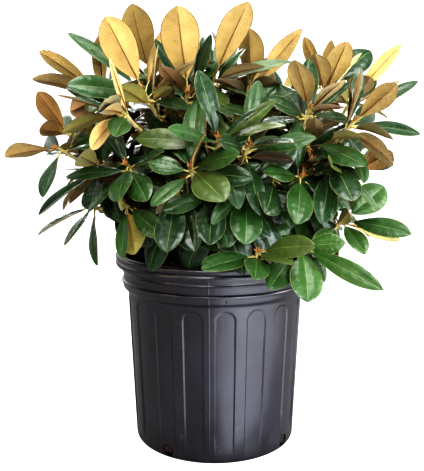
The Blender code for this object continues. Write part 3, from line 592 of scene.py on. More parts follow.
def grow_plant():
    """Repeats the growth of the solids: returns for each mass its twigs, shoots and leaves."""
    space = Space()
    nodes = frame["nodes"]
    for name in ("pot", "soil", "trunk"):
        space.add_node(nodes[name])
    masses = all_masses()
    paths = {name: bough_path(height, shoots) for name, (height, shoots) in masses.items()}
    for name in masses:
        space.add_node(nodes[name.replace("foliage", "bough")])
    grown = {}
    for name, (_, shoots) in masses.items():
        end_way = (paths[name][-1] - paths[name][-2]).normalized()
        foot = paths[name][-1] + end_way * GAP
        stem = ([foot, foot + end_way * STEM_LENGTH], [BOUGH_TIP_RADIUS, TWIG_BASE_RADIUS * STEM_SWELL])
        space.add(name, "twig", *twig_shape(*stem))
        twig_start = foot + end_way * STEM_LENGTH * STEM_FORK
        twigs = [stem]
        kept = []
        for shoot in shoots:
            for path in twig_paths(twig_start, end_way, shoot):
                radii = tapered(len(path) - 1, TWIG_BASE_RADIUS, TWIG_TIP_RADIUS) + [BUD_RADIUS]
                if twig_fits(space, name, path, radii):
                    space.add(name, "twig", *twig_shape(path, radii))
                    twigs.append((path, radii))
                    kept.append(shoot)
                    break
        grown[name] = Grown(twigs, kept, [[] for _ in kept])
    for name, mass in grown.items():
        for shoot, placed in zip(mass.shoots, mass.leaves):
            hand_set_leaves(space, name, shoot, placed)
    for mass_number, (name, mass) in enumerate(grown.items()):
        for number, (shoot, placed) in enumerate(zip(mass.shoots, mass.leaves)):
            seed = SEED * 1000 + mass_number * 20 + number
            whorled_leaves(space, name, shoot, placed, seed)
    for mass_number, (name, mass) in enumerate(grown.items()):
        grow_spurs(space, name, mass, SEED * 3000 + mass_number * 100)
    return paths, grown


# Finer twigs: short side shoots along each twig, whose leaves fill the inside of the crown.
SPUR_PLACES = (0.30, 0.46, 0.62)
SPUR_STEPS = 40  # a twig is cut into so many steps to find a place on it
SPUR_LENGTH = 0.016
SPUR_SPREAD = radians(62)
SPUR_RADII = (0.0017, 0.0014, BUD_RADIUS)
CORE_CENTRE = Vector((0.006, 0.004, 0.372))
CORE_REACH = Vector((0.162, 0.148, 0.118))


def in_core(point):
    """True for a point in the leafy inside of the crown."""
    away = point - CORE_CENTRE
    return sum((away[axis] / CORE_REACH[axis]) ** 2 for axis in range(3)) < 1.0


def grow_spurs(space, name, mass, seed):
    """Adds side shoots with small rosettes to the twigs of a mass, each by the test of the solids."""
    for number, (path, _) in enumerate(mass.twigs[1:]):
        rng = random.Random(seed + number)
        line = [Vector(point) for point in smooth_path(path, SPUR_STEPS + 1)]
        angle = rng.uniform(0, tau)
        for place in SPUR_PLACES:
            index = round(place * SPUR_STEPS)
            way = (line[index + 1] - line[index]).normalized()
            angle += GOLDEN_ANGLE
            outward = Quaternion(way, angle) @ way.orthogonal().normalized()
            axis = (way * cos(SPUR_SPREAD) + outward * sin(SPUR_SPREAD)).normalized()
            tip = line[index] + axis * SPUR_LENGTH * rng.uniform(0.7, 1.3)
            spur_path = [line[index], line[index].lerp(tip, 0.5), tip]
            if not twig_fits(space, name, spur_path, SPUR_RADII):
                continue
            azimuth = degrees(atan2(axis.y, axis.x))
            tilt = degrees(acos(axis.z))
            shoot = Shoot(tip.x / MM, tip.y / MM, tip.z / MM, azimuth, tilt, "spur", ())
            placed = []
            if in_core(tip + axis * HABITS["spur"][0].length * 0.5):
                whorled_leaves(space, name, shoot, placed, seed + number * 10 + index)
            if placed:
                mass.twigs.append((spur_path, SPUR_RADII))
                mass.shoots.append(shoot)
                mass.leaves.append(placed)


# ---- meshes and objects

def link_object(name, data, collection=None):
    obj = bpy.data.objects.new(name, data)
    (collection or bpy.context.scene.collection).objects.link(obj)
    return obj


def mesh_from(shape, name):
    """Turns a bmesh into a mesh and frees it."""
    mesh = bpy.data.meshes.new(name)
    shape.to_mesh(mesh)
    shape.free()
    return mesh


class Pile:
    """Collects quads from many small shapes for one joined mesh."""

    def __init__(self):
        self.vertices = []
        self.quads = []
        self.slots = []
        self.count = 0

    def add(self, vertices, quads, slots):
        self.vertices.append(vertices)
        self.quads.append(quads + self.count)
        self.slots.append(np.broadcast_to(slots, len(quads)))
        self.count += len(vertices)

    def build(self, name, materials):
        vertices = np.concatenate(self.vertices).astype(np.float32)
        quads = np.concatenate(self.quads).astype(np.int32)
        mesh = bpy.data.meshes.new(name)
        mesh.vertices.add(len(vertices))
        mesh.vertices.foreach_set("co", vertices.ravel())
        mesh.loops.add(quads.size)
        mesh.loops.foreach_set("vertex_index", quads.ravel())
        mesh.polygons.add(len(quads))
        mesh.polygons.foreach_set("loop_start", np.arange(0, quads.size, 4, dtype=np.int32))
        mesh.polygons.foreach_set("loop_total", np.full(len(quads), 4, np.int32))
        for material in materials:
            mesh.materials.append(material)
        mesh.polygons.foreach_set("material_index", np.concatenate(self.slots).astype(np.int32))
        mesh.update(calc_edges=True)
        mesh.validate()
        mesh.shade_smooth()
        return link_object(name, mesh)


def one_skin(name, vertices, quads, material):
    """An object of one surface and one material."""
    pile = Pile()
    pile.add(vertices, quads, 0)
    return pile.build(name, [material])


def grid_quads(rows, columns, closed=False, offset=0, flip=False):
    """Quads of a grid of points, `columns` points in each of `rows` rows."""
    first = np.arange(rows - 1)[:, None] * columns
    wrap = columns if closed else columns - 1
    here = np.arange(wrap)[None, :]
    after = (here + 1) % columns
    quads = np.stack([first + here, first + after, first + columns + after, first + columns + here], -1)
    quads = quads.reshape(-1, 4) + offset
    return quads[:, [0, 3, 2, 1]] if flip else quads


def unit(vectors):
    return vectors / np.linalg.norm(vectors, axis=-1, keepdims=True)


TUBE_END = 0.01  # size of the ring that closes a tube, over its end ring


def tube(points, radii, sides, relief=0.0):
    """A round closed tube along points. `relief` adds to the radius at (point index, side index)."""
    points = np.asarray(points, float)
    reach = np.broadcast_to(np.asarray(radii, float)[:, None] + relief, (len(points), sides))
    ways = unit(np.gradient(points, axis=0))
    side = np.cross(ways[0], (0.0, 0.0, 1.0))
    if np.linalg.norm(side) < 0.1:
        side = np.array((1.0, 0.0, 0.0))
    angles = np.arange(sides) * tau / sides
    rings = []
    for point, way, far in zip(points, ways, reach):
        side = unit(side - way * side.dot(way))
        other = np.cross(way, side)
        circle = np.outer(np.cos(angles), side) + np.outer(np.sin(angles), other)
        rings.append(point + circle * far[:, None])
    first, last = (points[at] + (rings[at] - points[at]) * TUBE_END for at in (0, -1))
    return np.concatenate([first, *rings, last]), grid_quads(len(points) + 2, sides, closed=True)


def smooth_path(points, count):
    """Points read from a Catmull-Rom curve through the given ones, evenly by index."""
    points = np.asarray([tuple(point) for point in points], float)
    padded = np.vstack([2 * points[0] - points[1], points, 2 * points[-1] - points[-2]])
    places = np.linspace(0, len(points) - 1, count)
    cell = np.minimum(places.astype(int), len(points) - 2)
    t = (places - cell)[:, None]
    before, start, end, beyond = (padded[cell + shift] for shift in range(4))
    return 0.5 * (
        2 * start + (end - before) * t + (2 * before - 5 * start + 4 * end - beyond) * t ** 2
        + (3 * start - before - 3 * end + beyond) * t ** 3
    )


def finish_piece(obj, nodes):
    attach(obj, BODY)
    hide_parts(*nodes)


# ---- materials

def rgba(colour):
    return (*colour, 1.0) if isinstance(colour, tuple) else colour


def feed(tree, socket, value):
    """Links an output to an input, or sets the input to a value."""
    if isinstance(value, bpy.types.NodeSocket):
        tree.links.new(value, socket)
    else:
        socket.default_value = value


def add_node(tree, kind, settings=None, **inputs):
    """Adds a shader node and feeds its inputs. An underscore stands for a space in a name."""
    node = tree.nodes.new("ShaderNode" + kind)
    for name, value in (settings or {}).items():
        setattr(node, name, value)
    for name, value in inputs.items():
        feed(tree, node.inputs[name.replace("_", " ")], value)
    return node


def product(tree, first, second):
    node = add_node(tree, "Math", {"operation": "MULTIPLY"})
    for socket, value in zip(node.inputs, (first, second)):
        feed(tree, socket, value)
    return node.outputs[0]


def map_range(tree, value, low, high, to_low, to_high, interpolation="LINEAR"):
    """Carries a value from one span to another."""
    spans = {"From_Min": low, "From_Max": high, "To_Min": to_low, "To_Max": to_high}
    node = add_node(tree, "MapRange", {"interpolation_type": interpolation}, **spans, Value=value)
    return node.outputs["Result"]


def new_material(name, colour, roughness, **sockets):
    material = bpy.data.materials.new(name)
    material.use_nodes = True
    shader = material.node_tree.nodes["Principled BSDF"]
    for socket, value in {"Base_Color": rgba(colour), "Roughness": roughness, **sockets}.items():
        shader.inputs[socket.replace("_", " ")].default_value = value
    return material


class Painter:
    """A new material that gets procedural colour, roughness and relief."""

    def __init__(self, *look, **sockets):
        self.material = new_material(*look, **sockets)
        self.tree = self.material.node_tree
        self.shader = self.tree.nodes["Principled BSDF"]
        self.place = add_node(self.tree, "TexCoord").outputs["Object"]
        self.relief = {}

    def stretch(self, scale):
        """Coordinates stretched along an axis, for grain that runs one way."""
        return add_node(self.tree, "Mapping", Vector=self.place, Scale=scale).outputs["Vector"]

    def noise(self, scale, detail=3.0, roughness=0.5, place=None):
        values = {"Scale": scale, "Detail": detail, "Roughness": roughness}
        return add_node(self.tree, "TexNoise", Vector=place or self.place, **values).outputs["Fac"]

    def cells(self, scale, feature):
        node = add_node(self.tree, "TexVoronoi", {"feature": feature}, Vector=self.place, Scale=scale)
        return node.outputs["Distance"]

    def span(self, value, low, high, to_low=0.0, to_high=1.0):
        return map_range(self.tree, value, low, high, to_low, to_high)

    def mix(self, factor, first, second):
        colours = {"A": rgba(first), "B": rgba(second)}
        return add_node(self.tree, "Mix", {"data_type": "RGBA"}, Factor=factor, **colours).outputs["Result"]

    def along(self, axis):
        """One coordinate of the place, in metres."""
        return add_node(self.tree, "SeparateXYZ", Vector=self.place).outputs[axis]

    def put(self, socket, value):
        feed(self.tree, self.shader.inputs[socket], value)

    def bump(self, value, strength, distance):
        """Adds relief on top of the relief that is there."""
        values = {"Strength": strength, "Distance": distance, "Height": value}
        normal = add_node(self.tree, "Bump", **values, **self.relief).outputs["Normal"]
        self.relief = {"Normal": normal}
        self.put("Normal", normal)


def times(colour, factor):
    return tuple(channel * factor for channel in colour)


def blade_material(name, colour, roughness):
    """The glossy upper face of a leaf: mottled, with fine puckers between the veins."""
    paint = Painter(name, colour, roughness, Specular_IOR_Level=0.46)
    patches = paint.span(paint.noise(55.0, 2.0), 0.36, 0.66)
    specks = paint.span(paint.noise(420.0, 2.0), 0.35, 0.70)
    base = paint.mix(patches, times(colour, 0.72), times(colour, 1.28))
    paint.put("Base Color", paint.mix(specks, base, times(colour, 1.12)))
    paint.put("Roughness", paint.span(paint.noise(120.0, 3.0), 0.3, 0.7, roughness - 0.07, roughness + 0.11))
    paint.bump(paint.cells(520.0, "SMOOTH_F1"), 0.25, 0.0004)
    paint.bump(paint.noise(900.0, 2.0), 0.12, 0.0002)
    return paint.material


def felt_material(name, colour, shade):
    """The felted underside: matt, soft and slightly uneven."""
    paint = Painter(name, colour, 0.9, Sheen_Weight=0.25, Sheen_Roughness=0.5)
    clouds = paint.span(paint.noise(60.0, 3.0, 0.6), 0.30, 0.70)
    nap = paint.span(paint.noise(1500.0, 2.0, 0.7), 0.3, 0.7)
    base = paint.mix(clouds, shade, colour)
    paint.put("Base Color", paint.mix(nap, times(colour, 0.86), base))
    paint.bump(paint.cells(230.0, "DISTANCE_TO_EDGE"), 0.6, 0.0012)
    paint.bump(paint.noise(1700.0, 2.0, 0.7), 0.35, 0.0003)
    return paint.material


def stalk_material(name, colour, shade, roughness=0.55):
    paint = Painter(name, colour, roughness)
    paint.put("Base Color", paint.mix(paint.span(paint.noise(160.0, 3.0), 0.35, 0.68), shade, colour))
    paint.bump(paint.noise(900.0, 3.0, 0.6), 0.3, 0.0003)
    return paint.material


def bark_material():
    colour = (0.20, 0.135, 0.085)
    paint = Painter("old_bark", colour, 0.88)
    grain = paint.stretch((1.0, 1.0, 0.22))
    plates = paint.span(paint.noise(190.0, 5.0, 0.65, grain), 0.36, 0.66)
    lichen = paint.span(paint.noise(60.0, 3.0), 0.55, 0.72)
    base = paint.mix(plates, (0.085, 0.052, 0.034), colour)
    paint.put("Base Color", paint.mix(lichen, base, (0.30, 0.26, 0.19)))
    paint.bump(paint.noise(330.0, 5.0, 0.7, grain), 0.7, 0.0012)
    return paint.material


def soil_material(name, dark, light):
    paint = Painter(name, dark, 0.95)
    paint.put("Base Color", paint.mix(paint.span(paint.noise(260.0, 4.0, 0.65), 0.36, 0.68), dark, light))
    paint.bump(paint.noise(600.0, 4.0, 0.7), 0.8, 0.001)
    return paint.material


def pot_material():
    """Blow-moulded black plastic: semi-gloss, with a bloom of dust low on the wall."""
    black = (0.0065, 0.0052, 0.0085)
    paint = Painter("black_plastic", black, 0.30, Specular_IOR_Level=0.85)
    haze = paint.span(paint.noise(14.0, 4.0, 0.6), 0.40, 0.75)
    tinted = paint.mix(haze, black, (0.017, 0.017, 0.026))
    low = paint.span(paint.along("Z"), 0.10, 0.0)
    marks = paint.span(paint.noise(85.0, 6.0, 0.75), 0.60, 0.74)
    dust = paint.span(product(paint.tree, low, marks), 0.0, 1.0, 0.0, 0.55)
    paint.put("Base Color", paint.mix(dust, tinted, (0.16, 0.15, 0.15)))
    paint.put("Roughness", paint.span(paint.noise(26.0, 5.0, 0.6), 0.30, 0.70, 0.30, 0.43))
    paint.bump(paint.noise(38.0, 3.0, 0.5, paint.stretch((1.0, 1.0, 0.35))), 0.30, 0.0022)
    paint.bump(paint.noise(1300.0, 2.0), 0.10, 0.0002)
    return paint.material


# Colours of a leaf's upper face and of its underside, as linear red, green and blue.
BLADES = {
    "deep": ((0.014, 0.035, 0.013), 0.30),
    "green": ((0.024, 0.058, 0.016), 0.32),
    "fresh": ((0.030, 0.071, 0.016), 0.32),
    "olive": ((0.044, 0.067, 0.016), 0.38),
    "silver": ((0.085, 0.115, 0.065), 0.60),
}
FELTS = {
    "gold": ((0.44, 0.312, 0.114), (0.31, 0.192, 0.058)),
    "cinnamon": ((0.41, 0.235, 0.078), (0.27, 0.135, 0.040)),
    "straw": ((0.66, 0.560, 0.250), (0.48, 0.350, 0.105)),
    "moss": ((0.28, 0.250, 0.060), (0.17, 0.140, 0.030)),
    # near-black underside, used only for the painted shade inside the crown
    "umber": ((0.070, 0.052, 0.018), (0.040, 0.030, 0.011)),
}
TRIMS = {
    "midrib": ((0.130, 0.190, 0.060), (0.070, 0.120, 0.035)),
    "margin": ((0.150, 0.180, 0.065), (0.070, 0.095, 0.030)),
    "hem": ((0.190, 0.105, 0.032), (0.090, 0.055, 0.018)),
    "petiole": ((0.50, 0.44, 0.17), (0.38, 0.30, 0.10)),
    "rib": ((0.26, 0.125, 0.030), (0.17, 0.075, 0.018)),
}
LEAF_SLOTS = [*BLADES, *FELTS, *TRIMS]

# How often each upper face and each underside comes up on a shoot of a given look.
LOOKS = {
    "sun": ({"deep": 4, "green": 3, "olive": 1, "silver": 1}, {"gold": 9, "cinnamon": 1, "straw": 2}),
    "crown": ({"deep": 5, "green": 4, "olive": 1}, {"gold": 4, "cinnamon": 2, "moss": 3}),
    "shade": ({"deep": 6, "green": 3}, {"moss": 5, "cinnamon": 1, "gold": 1}),
    "low": ({"fresh": 6, "green": 3, "olive": 1}, {"straw": 2, "moss": 3, "gold": 1}),
    # painted shade: leaves inside the crown get deep green faces and near-black undersides
    "shaded_inner": ({"deep": 5, "green": 1}, {"moss": 1, "umber": 3}),
}
SUNNY_HEIGHT = 0.475  # above this a leaf's tip stands in full light
MASS_LOOKS = {"foliage_front_low": "shade", "foliage_lower_left": "shade", "foliage_lower_right": "low"}
USUAL_LOOK = "crown"


# ---- leaves in full

LEAF_ROWS = 30
INNER_LEAF_ROWS = 11
USUAL_CUP = 0.16  # how far the two edges droop, over the half width
HANGING_CUP = 0.30
LEAF_COLUMNS = np.array((-1, -0.96, -0.66, -0.34, -0.026, 0.026, 0.34, 0.66, 0.96, 1))
MIDRIB_COLUMN = 4  # the strip between the two middle columns
BLADE_PEAK = 0.57  # where the blade is widest, along the blade
BLADE_THICKNESS = 0.00062
LEAF_EVENNESS = 0.45  # share of the rows' spacing that is even; the rest crowds the two ends
GROOVE = 0.13  # depth of the groove along the midrib, over the half width
PUCKER_FACTOR = 1.8  # brings the tallest pucker to about the full relief
VEIN_PAIRS = 7
VEIN_RELIEF = 0.060  # height of the puckers between side veins, over the half width
VEIN_SWEEP = 0.15  # how far forward a side vein runs, as a share of the blade
RIB_SIDES = 6
STALK_PLACES = (0.03, 0.07, 0.11, 0.14, STALK_END)  # over the leaf's length
RIB_PLACES = (0.04, 0.12, 0.24, 0.38, 0.54, 0.72, 0.90)  # over the blade's length
RIB_RADII = ((0.0, 0.05, STALK_END, 0.5, 1.0), (0.0015, 0.0012, 0.0010, 0.0006, 0.0002))


def blade_outline(t):
    """Half width of the blade along its length: wedge-shaped base, full middle, short point."""
    low = np.clip((BLADE_PEAK - t) / BLADE_PEAK, 0, 1)
    high = np.clip((t - BLADE_PEAK) / (1 - BLADE_PEAK), 0, 1)
    return np.where(t < BLADE_PEAK, 1 - low ** 1.9, (1 - high ** 2.2) ** 0.78)


def leaf_frames(leaf, share, bend, twist):
    """Points of the midrib with the side and upward directions there, as arrays."""
    chord, upper = (np.array(way, float) for way in (leaf.chord, leaf.upper))
    side = np.cross(chord, upper)
    theta = leaf.turn * share - leaf.turn / 2
    radius = leaf.length / leaf.turn
    along = radius * (sin(leaf.turn / 2) + np.sin(theta))
    above = radius * (np.cos(theta) - cos(leaf.turn / 2))
    centre = np.array(leaf.root, float) + np.outer(along, chord) + np.outer(above, upper)
    centre += np.outer(bend * leaf.length * share ** 2, side)
    up = np.outer(np.cos(theta), upper) + np.outer(np.sin(theta), chord)
    turn = (twist * share)[:, None]
    return centre, side * np.cos(turn) + up * np.sin(turn), up * np.cos(turn) - side * np.sin(turn)


def add_leaf(pile, leaf, blade, felt, rng, cup, rows):
    """Adds a blade with two faces and a rim, then its stalk and midrib as one tapering tube."""
    steps = np.linspace(0, 1, rows)
    t = LEAF_EVENNESS * steps + (1 - LEAF_EVENNESS) * (1 - np.cos(pi * steps)) / 2
    bend = rng.uniform(-0.05, 0.05)
    twist = radians(rng.uniform(-22, 22))
    fold = rng.uniform(0.0, 0.30)
    centre, side, up = leaf_frames(leaf, STALK_END + (1 - STALK_END) * t, bend, twist)
    half = (leaf.width / 2 * np.maximum(blade_outline(t), 0.0) + 0.0004)[:, None]
    t = t[:, None]
    across = np.tile(LEAF_COLUMNS, (rows, 1))
    far = np.abs(across)
    groove = GROOVE * (1 - np.exp(-far / GROOVE))
    droop = cup * far ** 2.2
    wave = rng.uniform(0.02, 0.07) * far ** 2 * np.sin(
        tau * (rng.uniform(0.9, 1.6) * t + 0.25 * across) + rng.uniform(0, tau)
    )
    swell = np.sin(pi * np.clip(t, 0, 1)) ** 0.5
    veins = VEIN_RELIEF * np.cos(tau * VEIN_PAIRS * (t - VEIN_SWEEP * far ** 1.3))
    veins = veins * far * (1 - far ** 4) * PUCKER_FACTOR * swell
    height = (groove + fold * far - droop + wave + veins) * half
    up = up[:, None, :]
    top = centre[:, None, :] + side[:, None, :] * (across * half)[..., None] + up * height[..., None]
    under = top - up * (BLADE_THICKNESS * (1 - 0.45 * far ** 2))[..., None]
    vertices = np.concatenate([top.reshape(-1, 3), under.reshape(-1, 3)])
    columns = len(LEAF_COLUMNS)
    count = rows * columns
    rim = np.concatenate([
        np.arange(rows) * columns,
        (rows - 1) * columns + np.arange(1, columns),
        np.arange(rows - 2, -1, -1) * columns + columns - 1,
        np.arange(columns - 2, 0, -1),
    ])
    after = np.roll(rim, -1)
    edge = np.stack([rim, after, after + count, rim + count], -1)
    upper = grid_quads(rows, columns, flip=True)
    lower = grid_quads(rows, columns, offset=count)
    strip = np.tile(np.arange(columns - 1), rows - 1)
    border = (strip == 0) | (strip == columns - 2)
    blade, felt, midrib, margin, hem, petiole, rib = (
        LEAF_SLOTS.index(name) for name in (blade, felt, "midrib", "margin", "hem", "petiole", "rib")
    )
    upper_slot = np.where(border, margin, np.where(strip == MIDRIB_COLUMN, midrib, blade))
    slots = np.concatenate([upper_slot, np.where(border, hem, felt), np.full(len(edge), hem)])
    pile.add(vertices, np.concatenate([upper, lower, edge]), slots)
    places = np.array((-LEAF_ROOT_SINK / leaf.length, *STALK_PLACES,
                       *(STALK_END + (1 - STALK_END) * place for place in RIB_PLACES)))
    middle, _, lift = leaf_frames(leaf, places, bend, twist)
    lower_by = np.where(places < STALK_END, 0.0, BLADE_THICKNESS * 0.6)
    lower_by = lower_by + np.interp(places, (STALK_END * 0.8, STALK_END * 1.3), (0.0, 0.0005))
    ribs, rib_quads = tube(middle - lift * lower_by[:, None], np.interp(places, *RIB_RADII), RIB_SIDES)
    on_stalk = np.arange(len(rib_quads)) < (len(STALK_PLACES) + 2) * RIB_SIDES
    pile.add(ribs, rib_quads, np.where(on_stalk, petiole, rib))


def pick(rng, weights):
    return rng.choices(list(weights), list(weights.values()))[0]


def finish_mass(pile, name, part, materials):
    """Builds the leaves, twigs or buds of one mass."""
    finish_piece(pile.build(name.replace("foliage", part), materials), [name])


def make_leaves(name, mass, mass_number, materials):
    pile = Pile()
    rng = random.Random(SEED * 500 + mass_number)
    for shoot, leaves in zip(mass.shoots, mass.leaves):
        cup = HANGING_CUP if shoot.habit == "hanging" else USUAL_CUP
        for leaf in leaves:
            look = MASS_LOOKS.get(name, USUAL_LOOK)
            rows = LEAF_ROWS
            # Leaves on the side shoots inside the crown get the dark look that paints the crown's shade.
            if shoot.habit == "spur":
                look = "shaded_inner"
                rows = INNER_LEAF_ROWS
            elif leaf.root.z + leaf.chord.z * leaf.length > SUNNY_HEIGHT:
                look = "sun"
            blade, felt = (pick(rng, weights) for weights in LOOKS[look])
            add_leaf(pile, leaf, blade, felt, rng, cup * rng.uniform(0.6, 1.4), rows)
    finish_mass(pile, name, "leaves", materials)


# ---- twigs and buds

TWIG_SIDES = 10
BUD_FULL_LENGTH = 0.010
BUD_FULL_RADIUS = 0.0027
BUD_SIDES = 10
BUD_PROFILE = np.array((  # place along the bud, then radius over the full radius
    (0, 0.55), (0.15, 0.85), (0.35, 1.0), (0.6, 0.82), (0.8, 0.5), (0.95, 0.18), (1, 0.04),
))
BUD_SCALES = 7
SCALE_SIDES = 5
SCALE_RADII = np.array((1.1, 1.2, 0.9, 0.5, 0.1)) * 0.0009
TWIG_RINGS = 6  # for each point of its path
YOUNG_START = 0.45  # share of a twig that is old wood
SCAR_HEIGHT = 0.00035
SCAR_RHYTHM = 2.1


def make_twigs(name, mass, materials):
    """Twigs with the scars of fallen leaves; the old wood is brown and the new growth green."""
    pile = Pile()
    for path, radii in mass.twigs:
        count = TWIG_RINGS * len(path)
        points = smooth_path(path, count)
        thick = np.interp(np.linspace(0, 1, count), np.linspace(0, 1, len(radii)), radii)
        scars = SCAR_HEIGHT * (np.sin(np.arange(count) * SCAR_RHYTHM) > 0.6)
        vertices, quads = tube(points, thick + scars, TWIG_SIDES)
        young = np.arange(len(quads)) // TWIG_SIDES > count * YOUNG_START
        pile.add(vertices, quads, young.astype(int) if len(path) > 2 else 0)
    finish_mass(pile, name, "twigs", materials)


def make_buds(name, mass, mass_number, materials):
    """A scaly bud on each shoot, with a few loose scale tips round its foot."""
    pile = Pile()
    rng = random.Random(SEED * 900 + mass_number)
    for shoot in mass.shoots:
        foot = np.array(shoot_point(shoot))
        axis = np.array(shoot_axis(shoot))
        size = rng.uniform(0.75, 1.15)
        points = foot + np.outer(BUD_PROFILE[:, 0] * BUD_FULL_LENGTH * size, axis)
        pile.add(*tube(points, BUD_PROFILE[:, 1] * BUD_FULL_RADIUS * size, BUD_SIDES), 0)
        side = unit(np.cross(axis, (0.3, 0.5, 0.81)))
        other = np.cross(axis, side)
        for scale in range(BUD_SCALES):
            angle = scale * GOLDEN_ANGLE + rng.uniform(-0.3, 0.3)
            out = side * cos(angle) + other * sin(angle)
            start = foot + axis * (0.001 + 0.0007 * scale) + out * BUD_FULL_RADIUS * 0.7 * size
            length = rng.uniform(0.004, 0.008)
            bend = rng.uniform(0.25, 0.9)
            places = np.linspace(0, 1, len(SCALE_RADII))
            line = [start + axis * length * s + out * length * bend * s ** 1.6 for s in places]
            pile.add(*tube(line, SCALE_RADII, SCALE_SIDES), 1)
    finish_mass(pile, name, "buds", materials)


# ---- bark

BARK_SIDES = 30
BARK_STEP = 0.0016
BARK_RELIEF = 0.0005
BARK_MIN_RINGS = 12
BARK_OVERRUN = (0.004, 0.003)  # how far the bark runs past the two ends of a bough
RIDGES_ROUND = 2.2  # how fine the noise is round a limb and along it
RIDGES_ALONG = 90
KNOTS_ALONG = 45
TRUNK_SIDES = 40
TRUNK_RINGS = 90
TRUNK_RELIEF = 0.0011
BOUGH_BARK_RADII = (
    (0, 0.12, 1), (BOUGH_BASE_RADIUS * 1.25, BOUGH_BASE_RADIUS, BOUGH_TIP_RADIUS),
)


def bark_relief(points, amount, sides):
    """Long shallow ridges and furrows, from noise that is stretched along the limb."""
    relief = np.zeros((len(points), sides))
    travelled = np.concatenate([[0], np.cumsum(np.linalg.norm(np.diff(points, axis=0), axis=1))])
    offset = Vector(points[0]) * 400
    for row, distance in enumerate(travelled):
        for side in range(sides):
            ways = np.array((cos(side * tau / sides), sin(side * tau / sides)))
            spot = Vector((*(ways * RIDGES_ROUND), distance * RIDGES_ALONG)) + offset
            ridges = 1 - abs(noise.noise(spot)) * 2
            knots = noise.noise(Vector((*ways, distance * KNOTS_ALONG)) + offset)
            relief[row, side] = amount * (ridges * 0.6 + knots * 0.8 - 0.4)
    return relief


def bark_skin(name, points, radii, sides, amount, material, node):
    """Rough bark round a limb. It starts at the top of the soil."""
    vertices, quads = tube(points, radii, sides, bark_relief(points, amount, sides))
    vertices[:, 2] = np.maximum(vertices[:, 2], SOIL_TOP)
    finish_piece(one_skin(name, vertices, quads, material), [node])


def make_wood(paths):
    bark = bark_material()
    foot = trunk_point(0.0) - Vector((0, 0, GAP))
    points = [trunk_point(share * TRUNK_HEIGHT) for share, _ in TRUNK_RADII[1:]]
    line = [foot, foot.lerp(points[0], 0.5), *points]
    spread = np.cumsum([0] + [(after - before).length for before, after in zip(line, line[1:])])
    places = spread / spread[-1]
    steps = np.linspace(0, 1, TRUNK_RINGS)
    fine = np.stack([np.interp(steps, places, [point[axis] for point in line]) for axis in range(3)], -1)
    thick = np.interp(steps, places, [trunk_radius(place * TRUNK_HEIGHT) for place in places])
    bark_skin("trunk_bark", fine, thick, TRUNK_SIDES, TRUNK_RELIEF, bark, "trunk")
    for name, path in paths.items():
        bough = name.replace("foliage", "bough")
        way = (path[1] - path[0]).normalized()
        end_way = (path[-1] - path[-2]).normalized()
        limb = [path[0] - way * BARK_OVERRUN[0], *path, path[-1] + end_way * BARK_OVERRUN[1]]
        length = np.linalg.norm(np.diff(limb, axis=0), axis=1).sum()
        count = max(int(length / BARK_STEP), BARK_MIN_RINGS)
        thick = np.interp(np.linspace(0, 1, count), *BOUGH_BARK_RADII)
        fine = smooth_path(limb, count)
        bark_skin(f"{bough}_bark", fine, thick, BARK_SIDES, BARK_RELIEF, bark, bough)


# ---- pot and soil

def body_radius(height):
    share = (height - BASE_CORNER) / (FLANGE_BOTTOM - BASE_CORNER)
    return BASE_RADIUS + (BODY_TOP_RADIUS - BASE_RADIUS) * share


# Profiles down the outside of the pot, outward and upward in millimetres. The lip's count from the
# rim's radius and its top, the band's from the band's radius and the ground.
LIP = (
    (-4.5, 0), (-2.2, -0.2), (-0.7, -1.1), (0, -3.0), (-0.3, -5.2), (-1.5, -7.0), (-2.1, -7.9), (-1.4, -8.9),
    (-0.6, -10.5), (-0.6, -13.2), (-1.4, -15.2), (-3.5, -16.0), (-7.5, -16.6), (-9.7, -17.4),
)
BAND = (
    (0.3, 238.5), (0.4, 236.8), (1.2, 236.0), (1.2, 235.2), (0.4, 234.5), (0.1, 232.0), (0, 229.0),
    (-0.4, 226.2), (-0.6, 225.2), (0.2, 224.3), (1.9, 223.5), (2.3, 222.5), (2.0, 221.2), (1.1, 220.0),
    (0.7, 218.5), (0.6, 216.0), (-0.4, 213.5), (-3.0, 211.0), (-5.2, 209.5),
)


def pot_outside():
    """Radius and height down the outside of the pot, from the rim to the underside."""
    lip = [(RIM_RADIUS + out * MM, POT_HEIGHT + up * MM) for out, up in LIP]
    band = [(BAND_RADIUS + out * MM, height * MM) for out, height in BAND]
    heights = [0.2075, 0.2060, 0.2048, *np.arange(PANEL_TOP + 0.0006, PANEL_TOP - 0.0160, -0.0009)]
    heights += [*np.linspace(0.186, 0.024, 22), *np.arange(0.0215, BASE_CORNER, -0.0012)]
    body = [(body_radius(height), height) for height in heights]
    corner = [
        (BASE_RADIUS - BASE_CORNER * (1 - cos(angle)), BASE_CORNER * (1 - sin(angle)))
        for angle in np.radians(np.arange(0, 91, 11.25))
    ]
    return lip + band + body + corner + [(0.09, 0.0), (0.05, 0.0), (0.0, 0.0)]


def pot_inside():
    inner_top = BAND_RADIUS - WALL
    return [
        (0.0, FLOOR), (0.06, FLOOR), (BASE_RADIUS - WALL - 0.004, FLOOR),
        (BASE_RADIUS - WALL, FLOOR + 0.004),
        (BODY_TOP_RADIUS - WALL, FLANGE_BOTTOM - 0.002), (inner_top, FLANGE_BOTTOM + 0.004),
        (inner_top + 0.0012, 0.238), (inner_top + 0.0022, 0.250), (inner_top + 0.0032, POT_HEIGHT - 0.0016),
        (inner_top + 0.0044, POT_HEIGHT - 0.0003),
    ]


def smoothstep(low, high, value):
    t = np.clip((value - low) / (high - low), 0, 1)
    return t * t * (3 - 2 * t)


PANEL_FADE = 0.020  # height over which a panel runs out at its foot


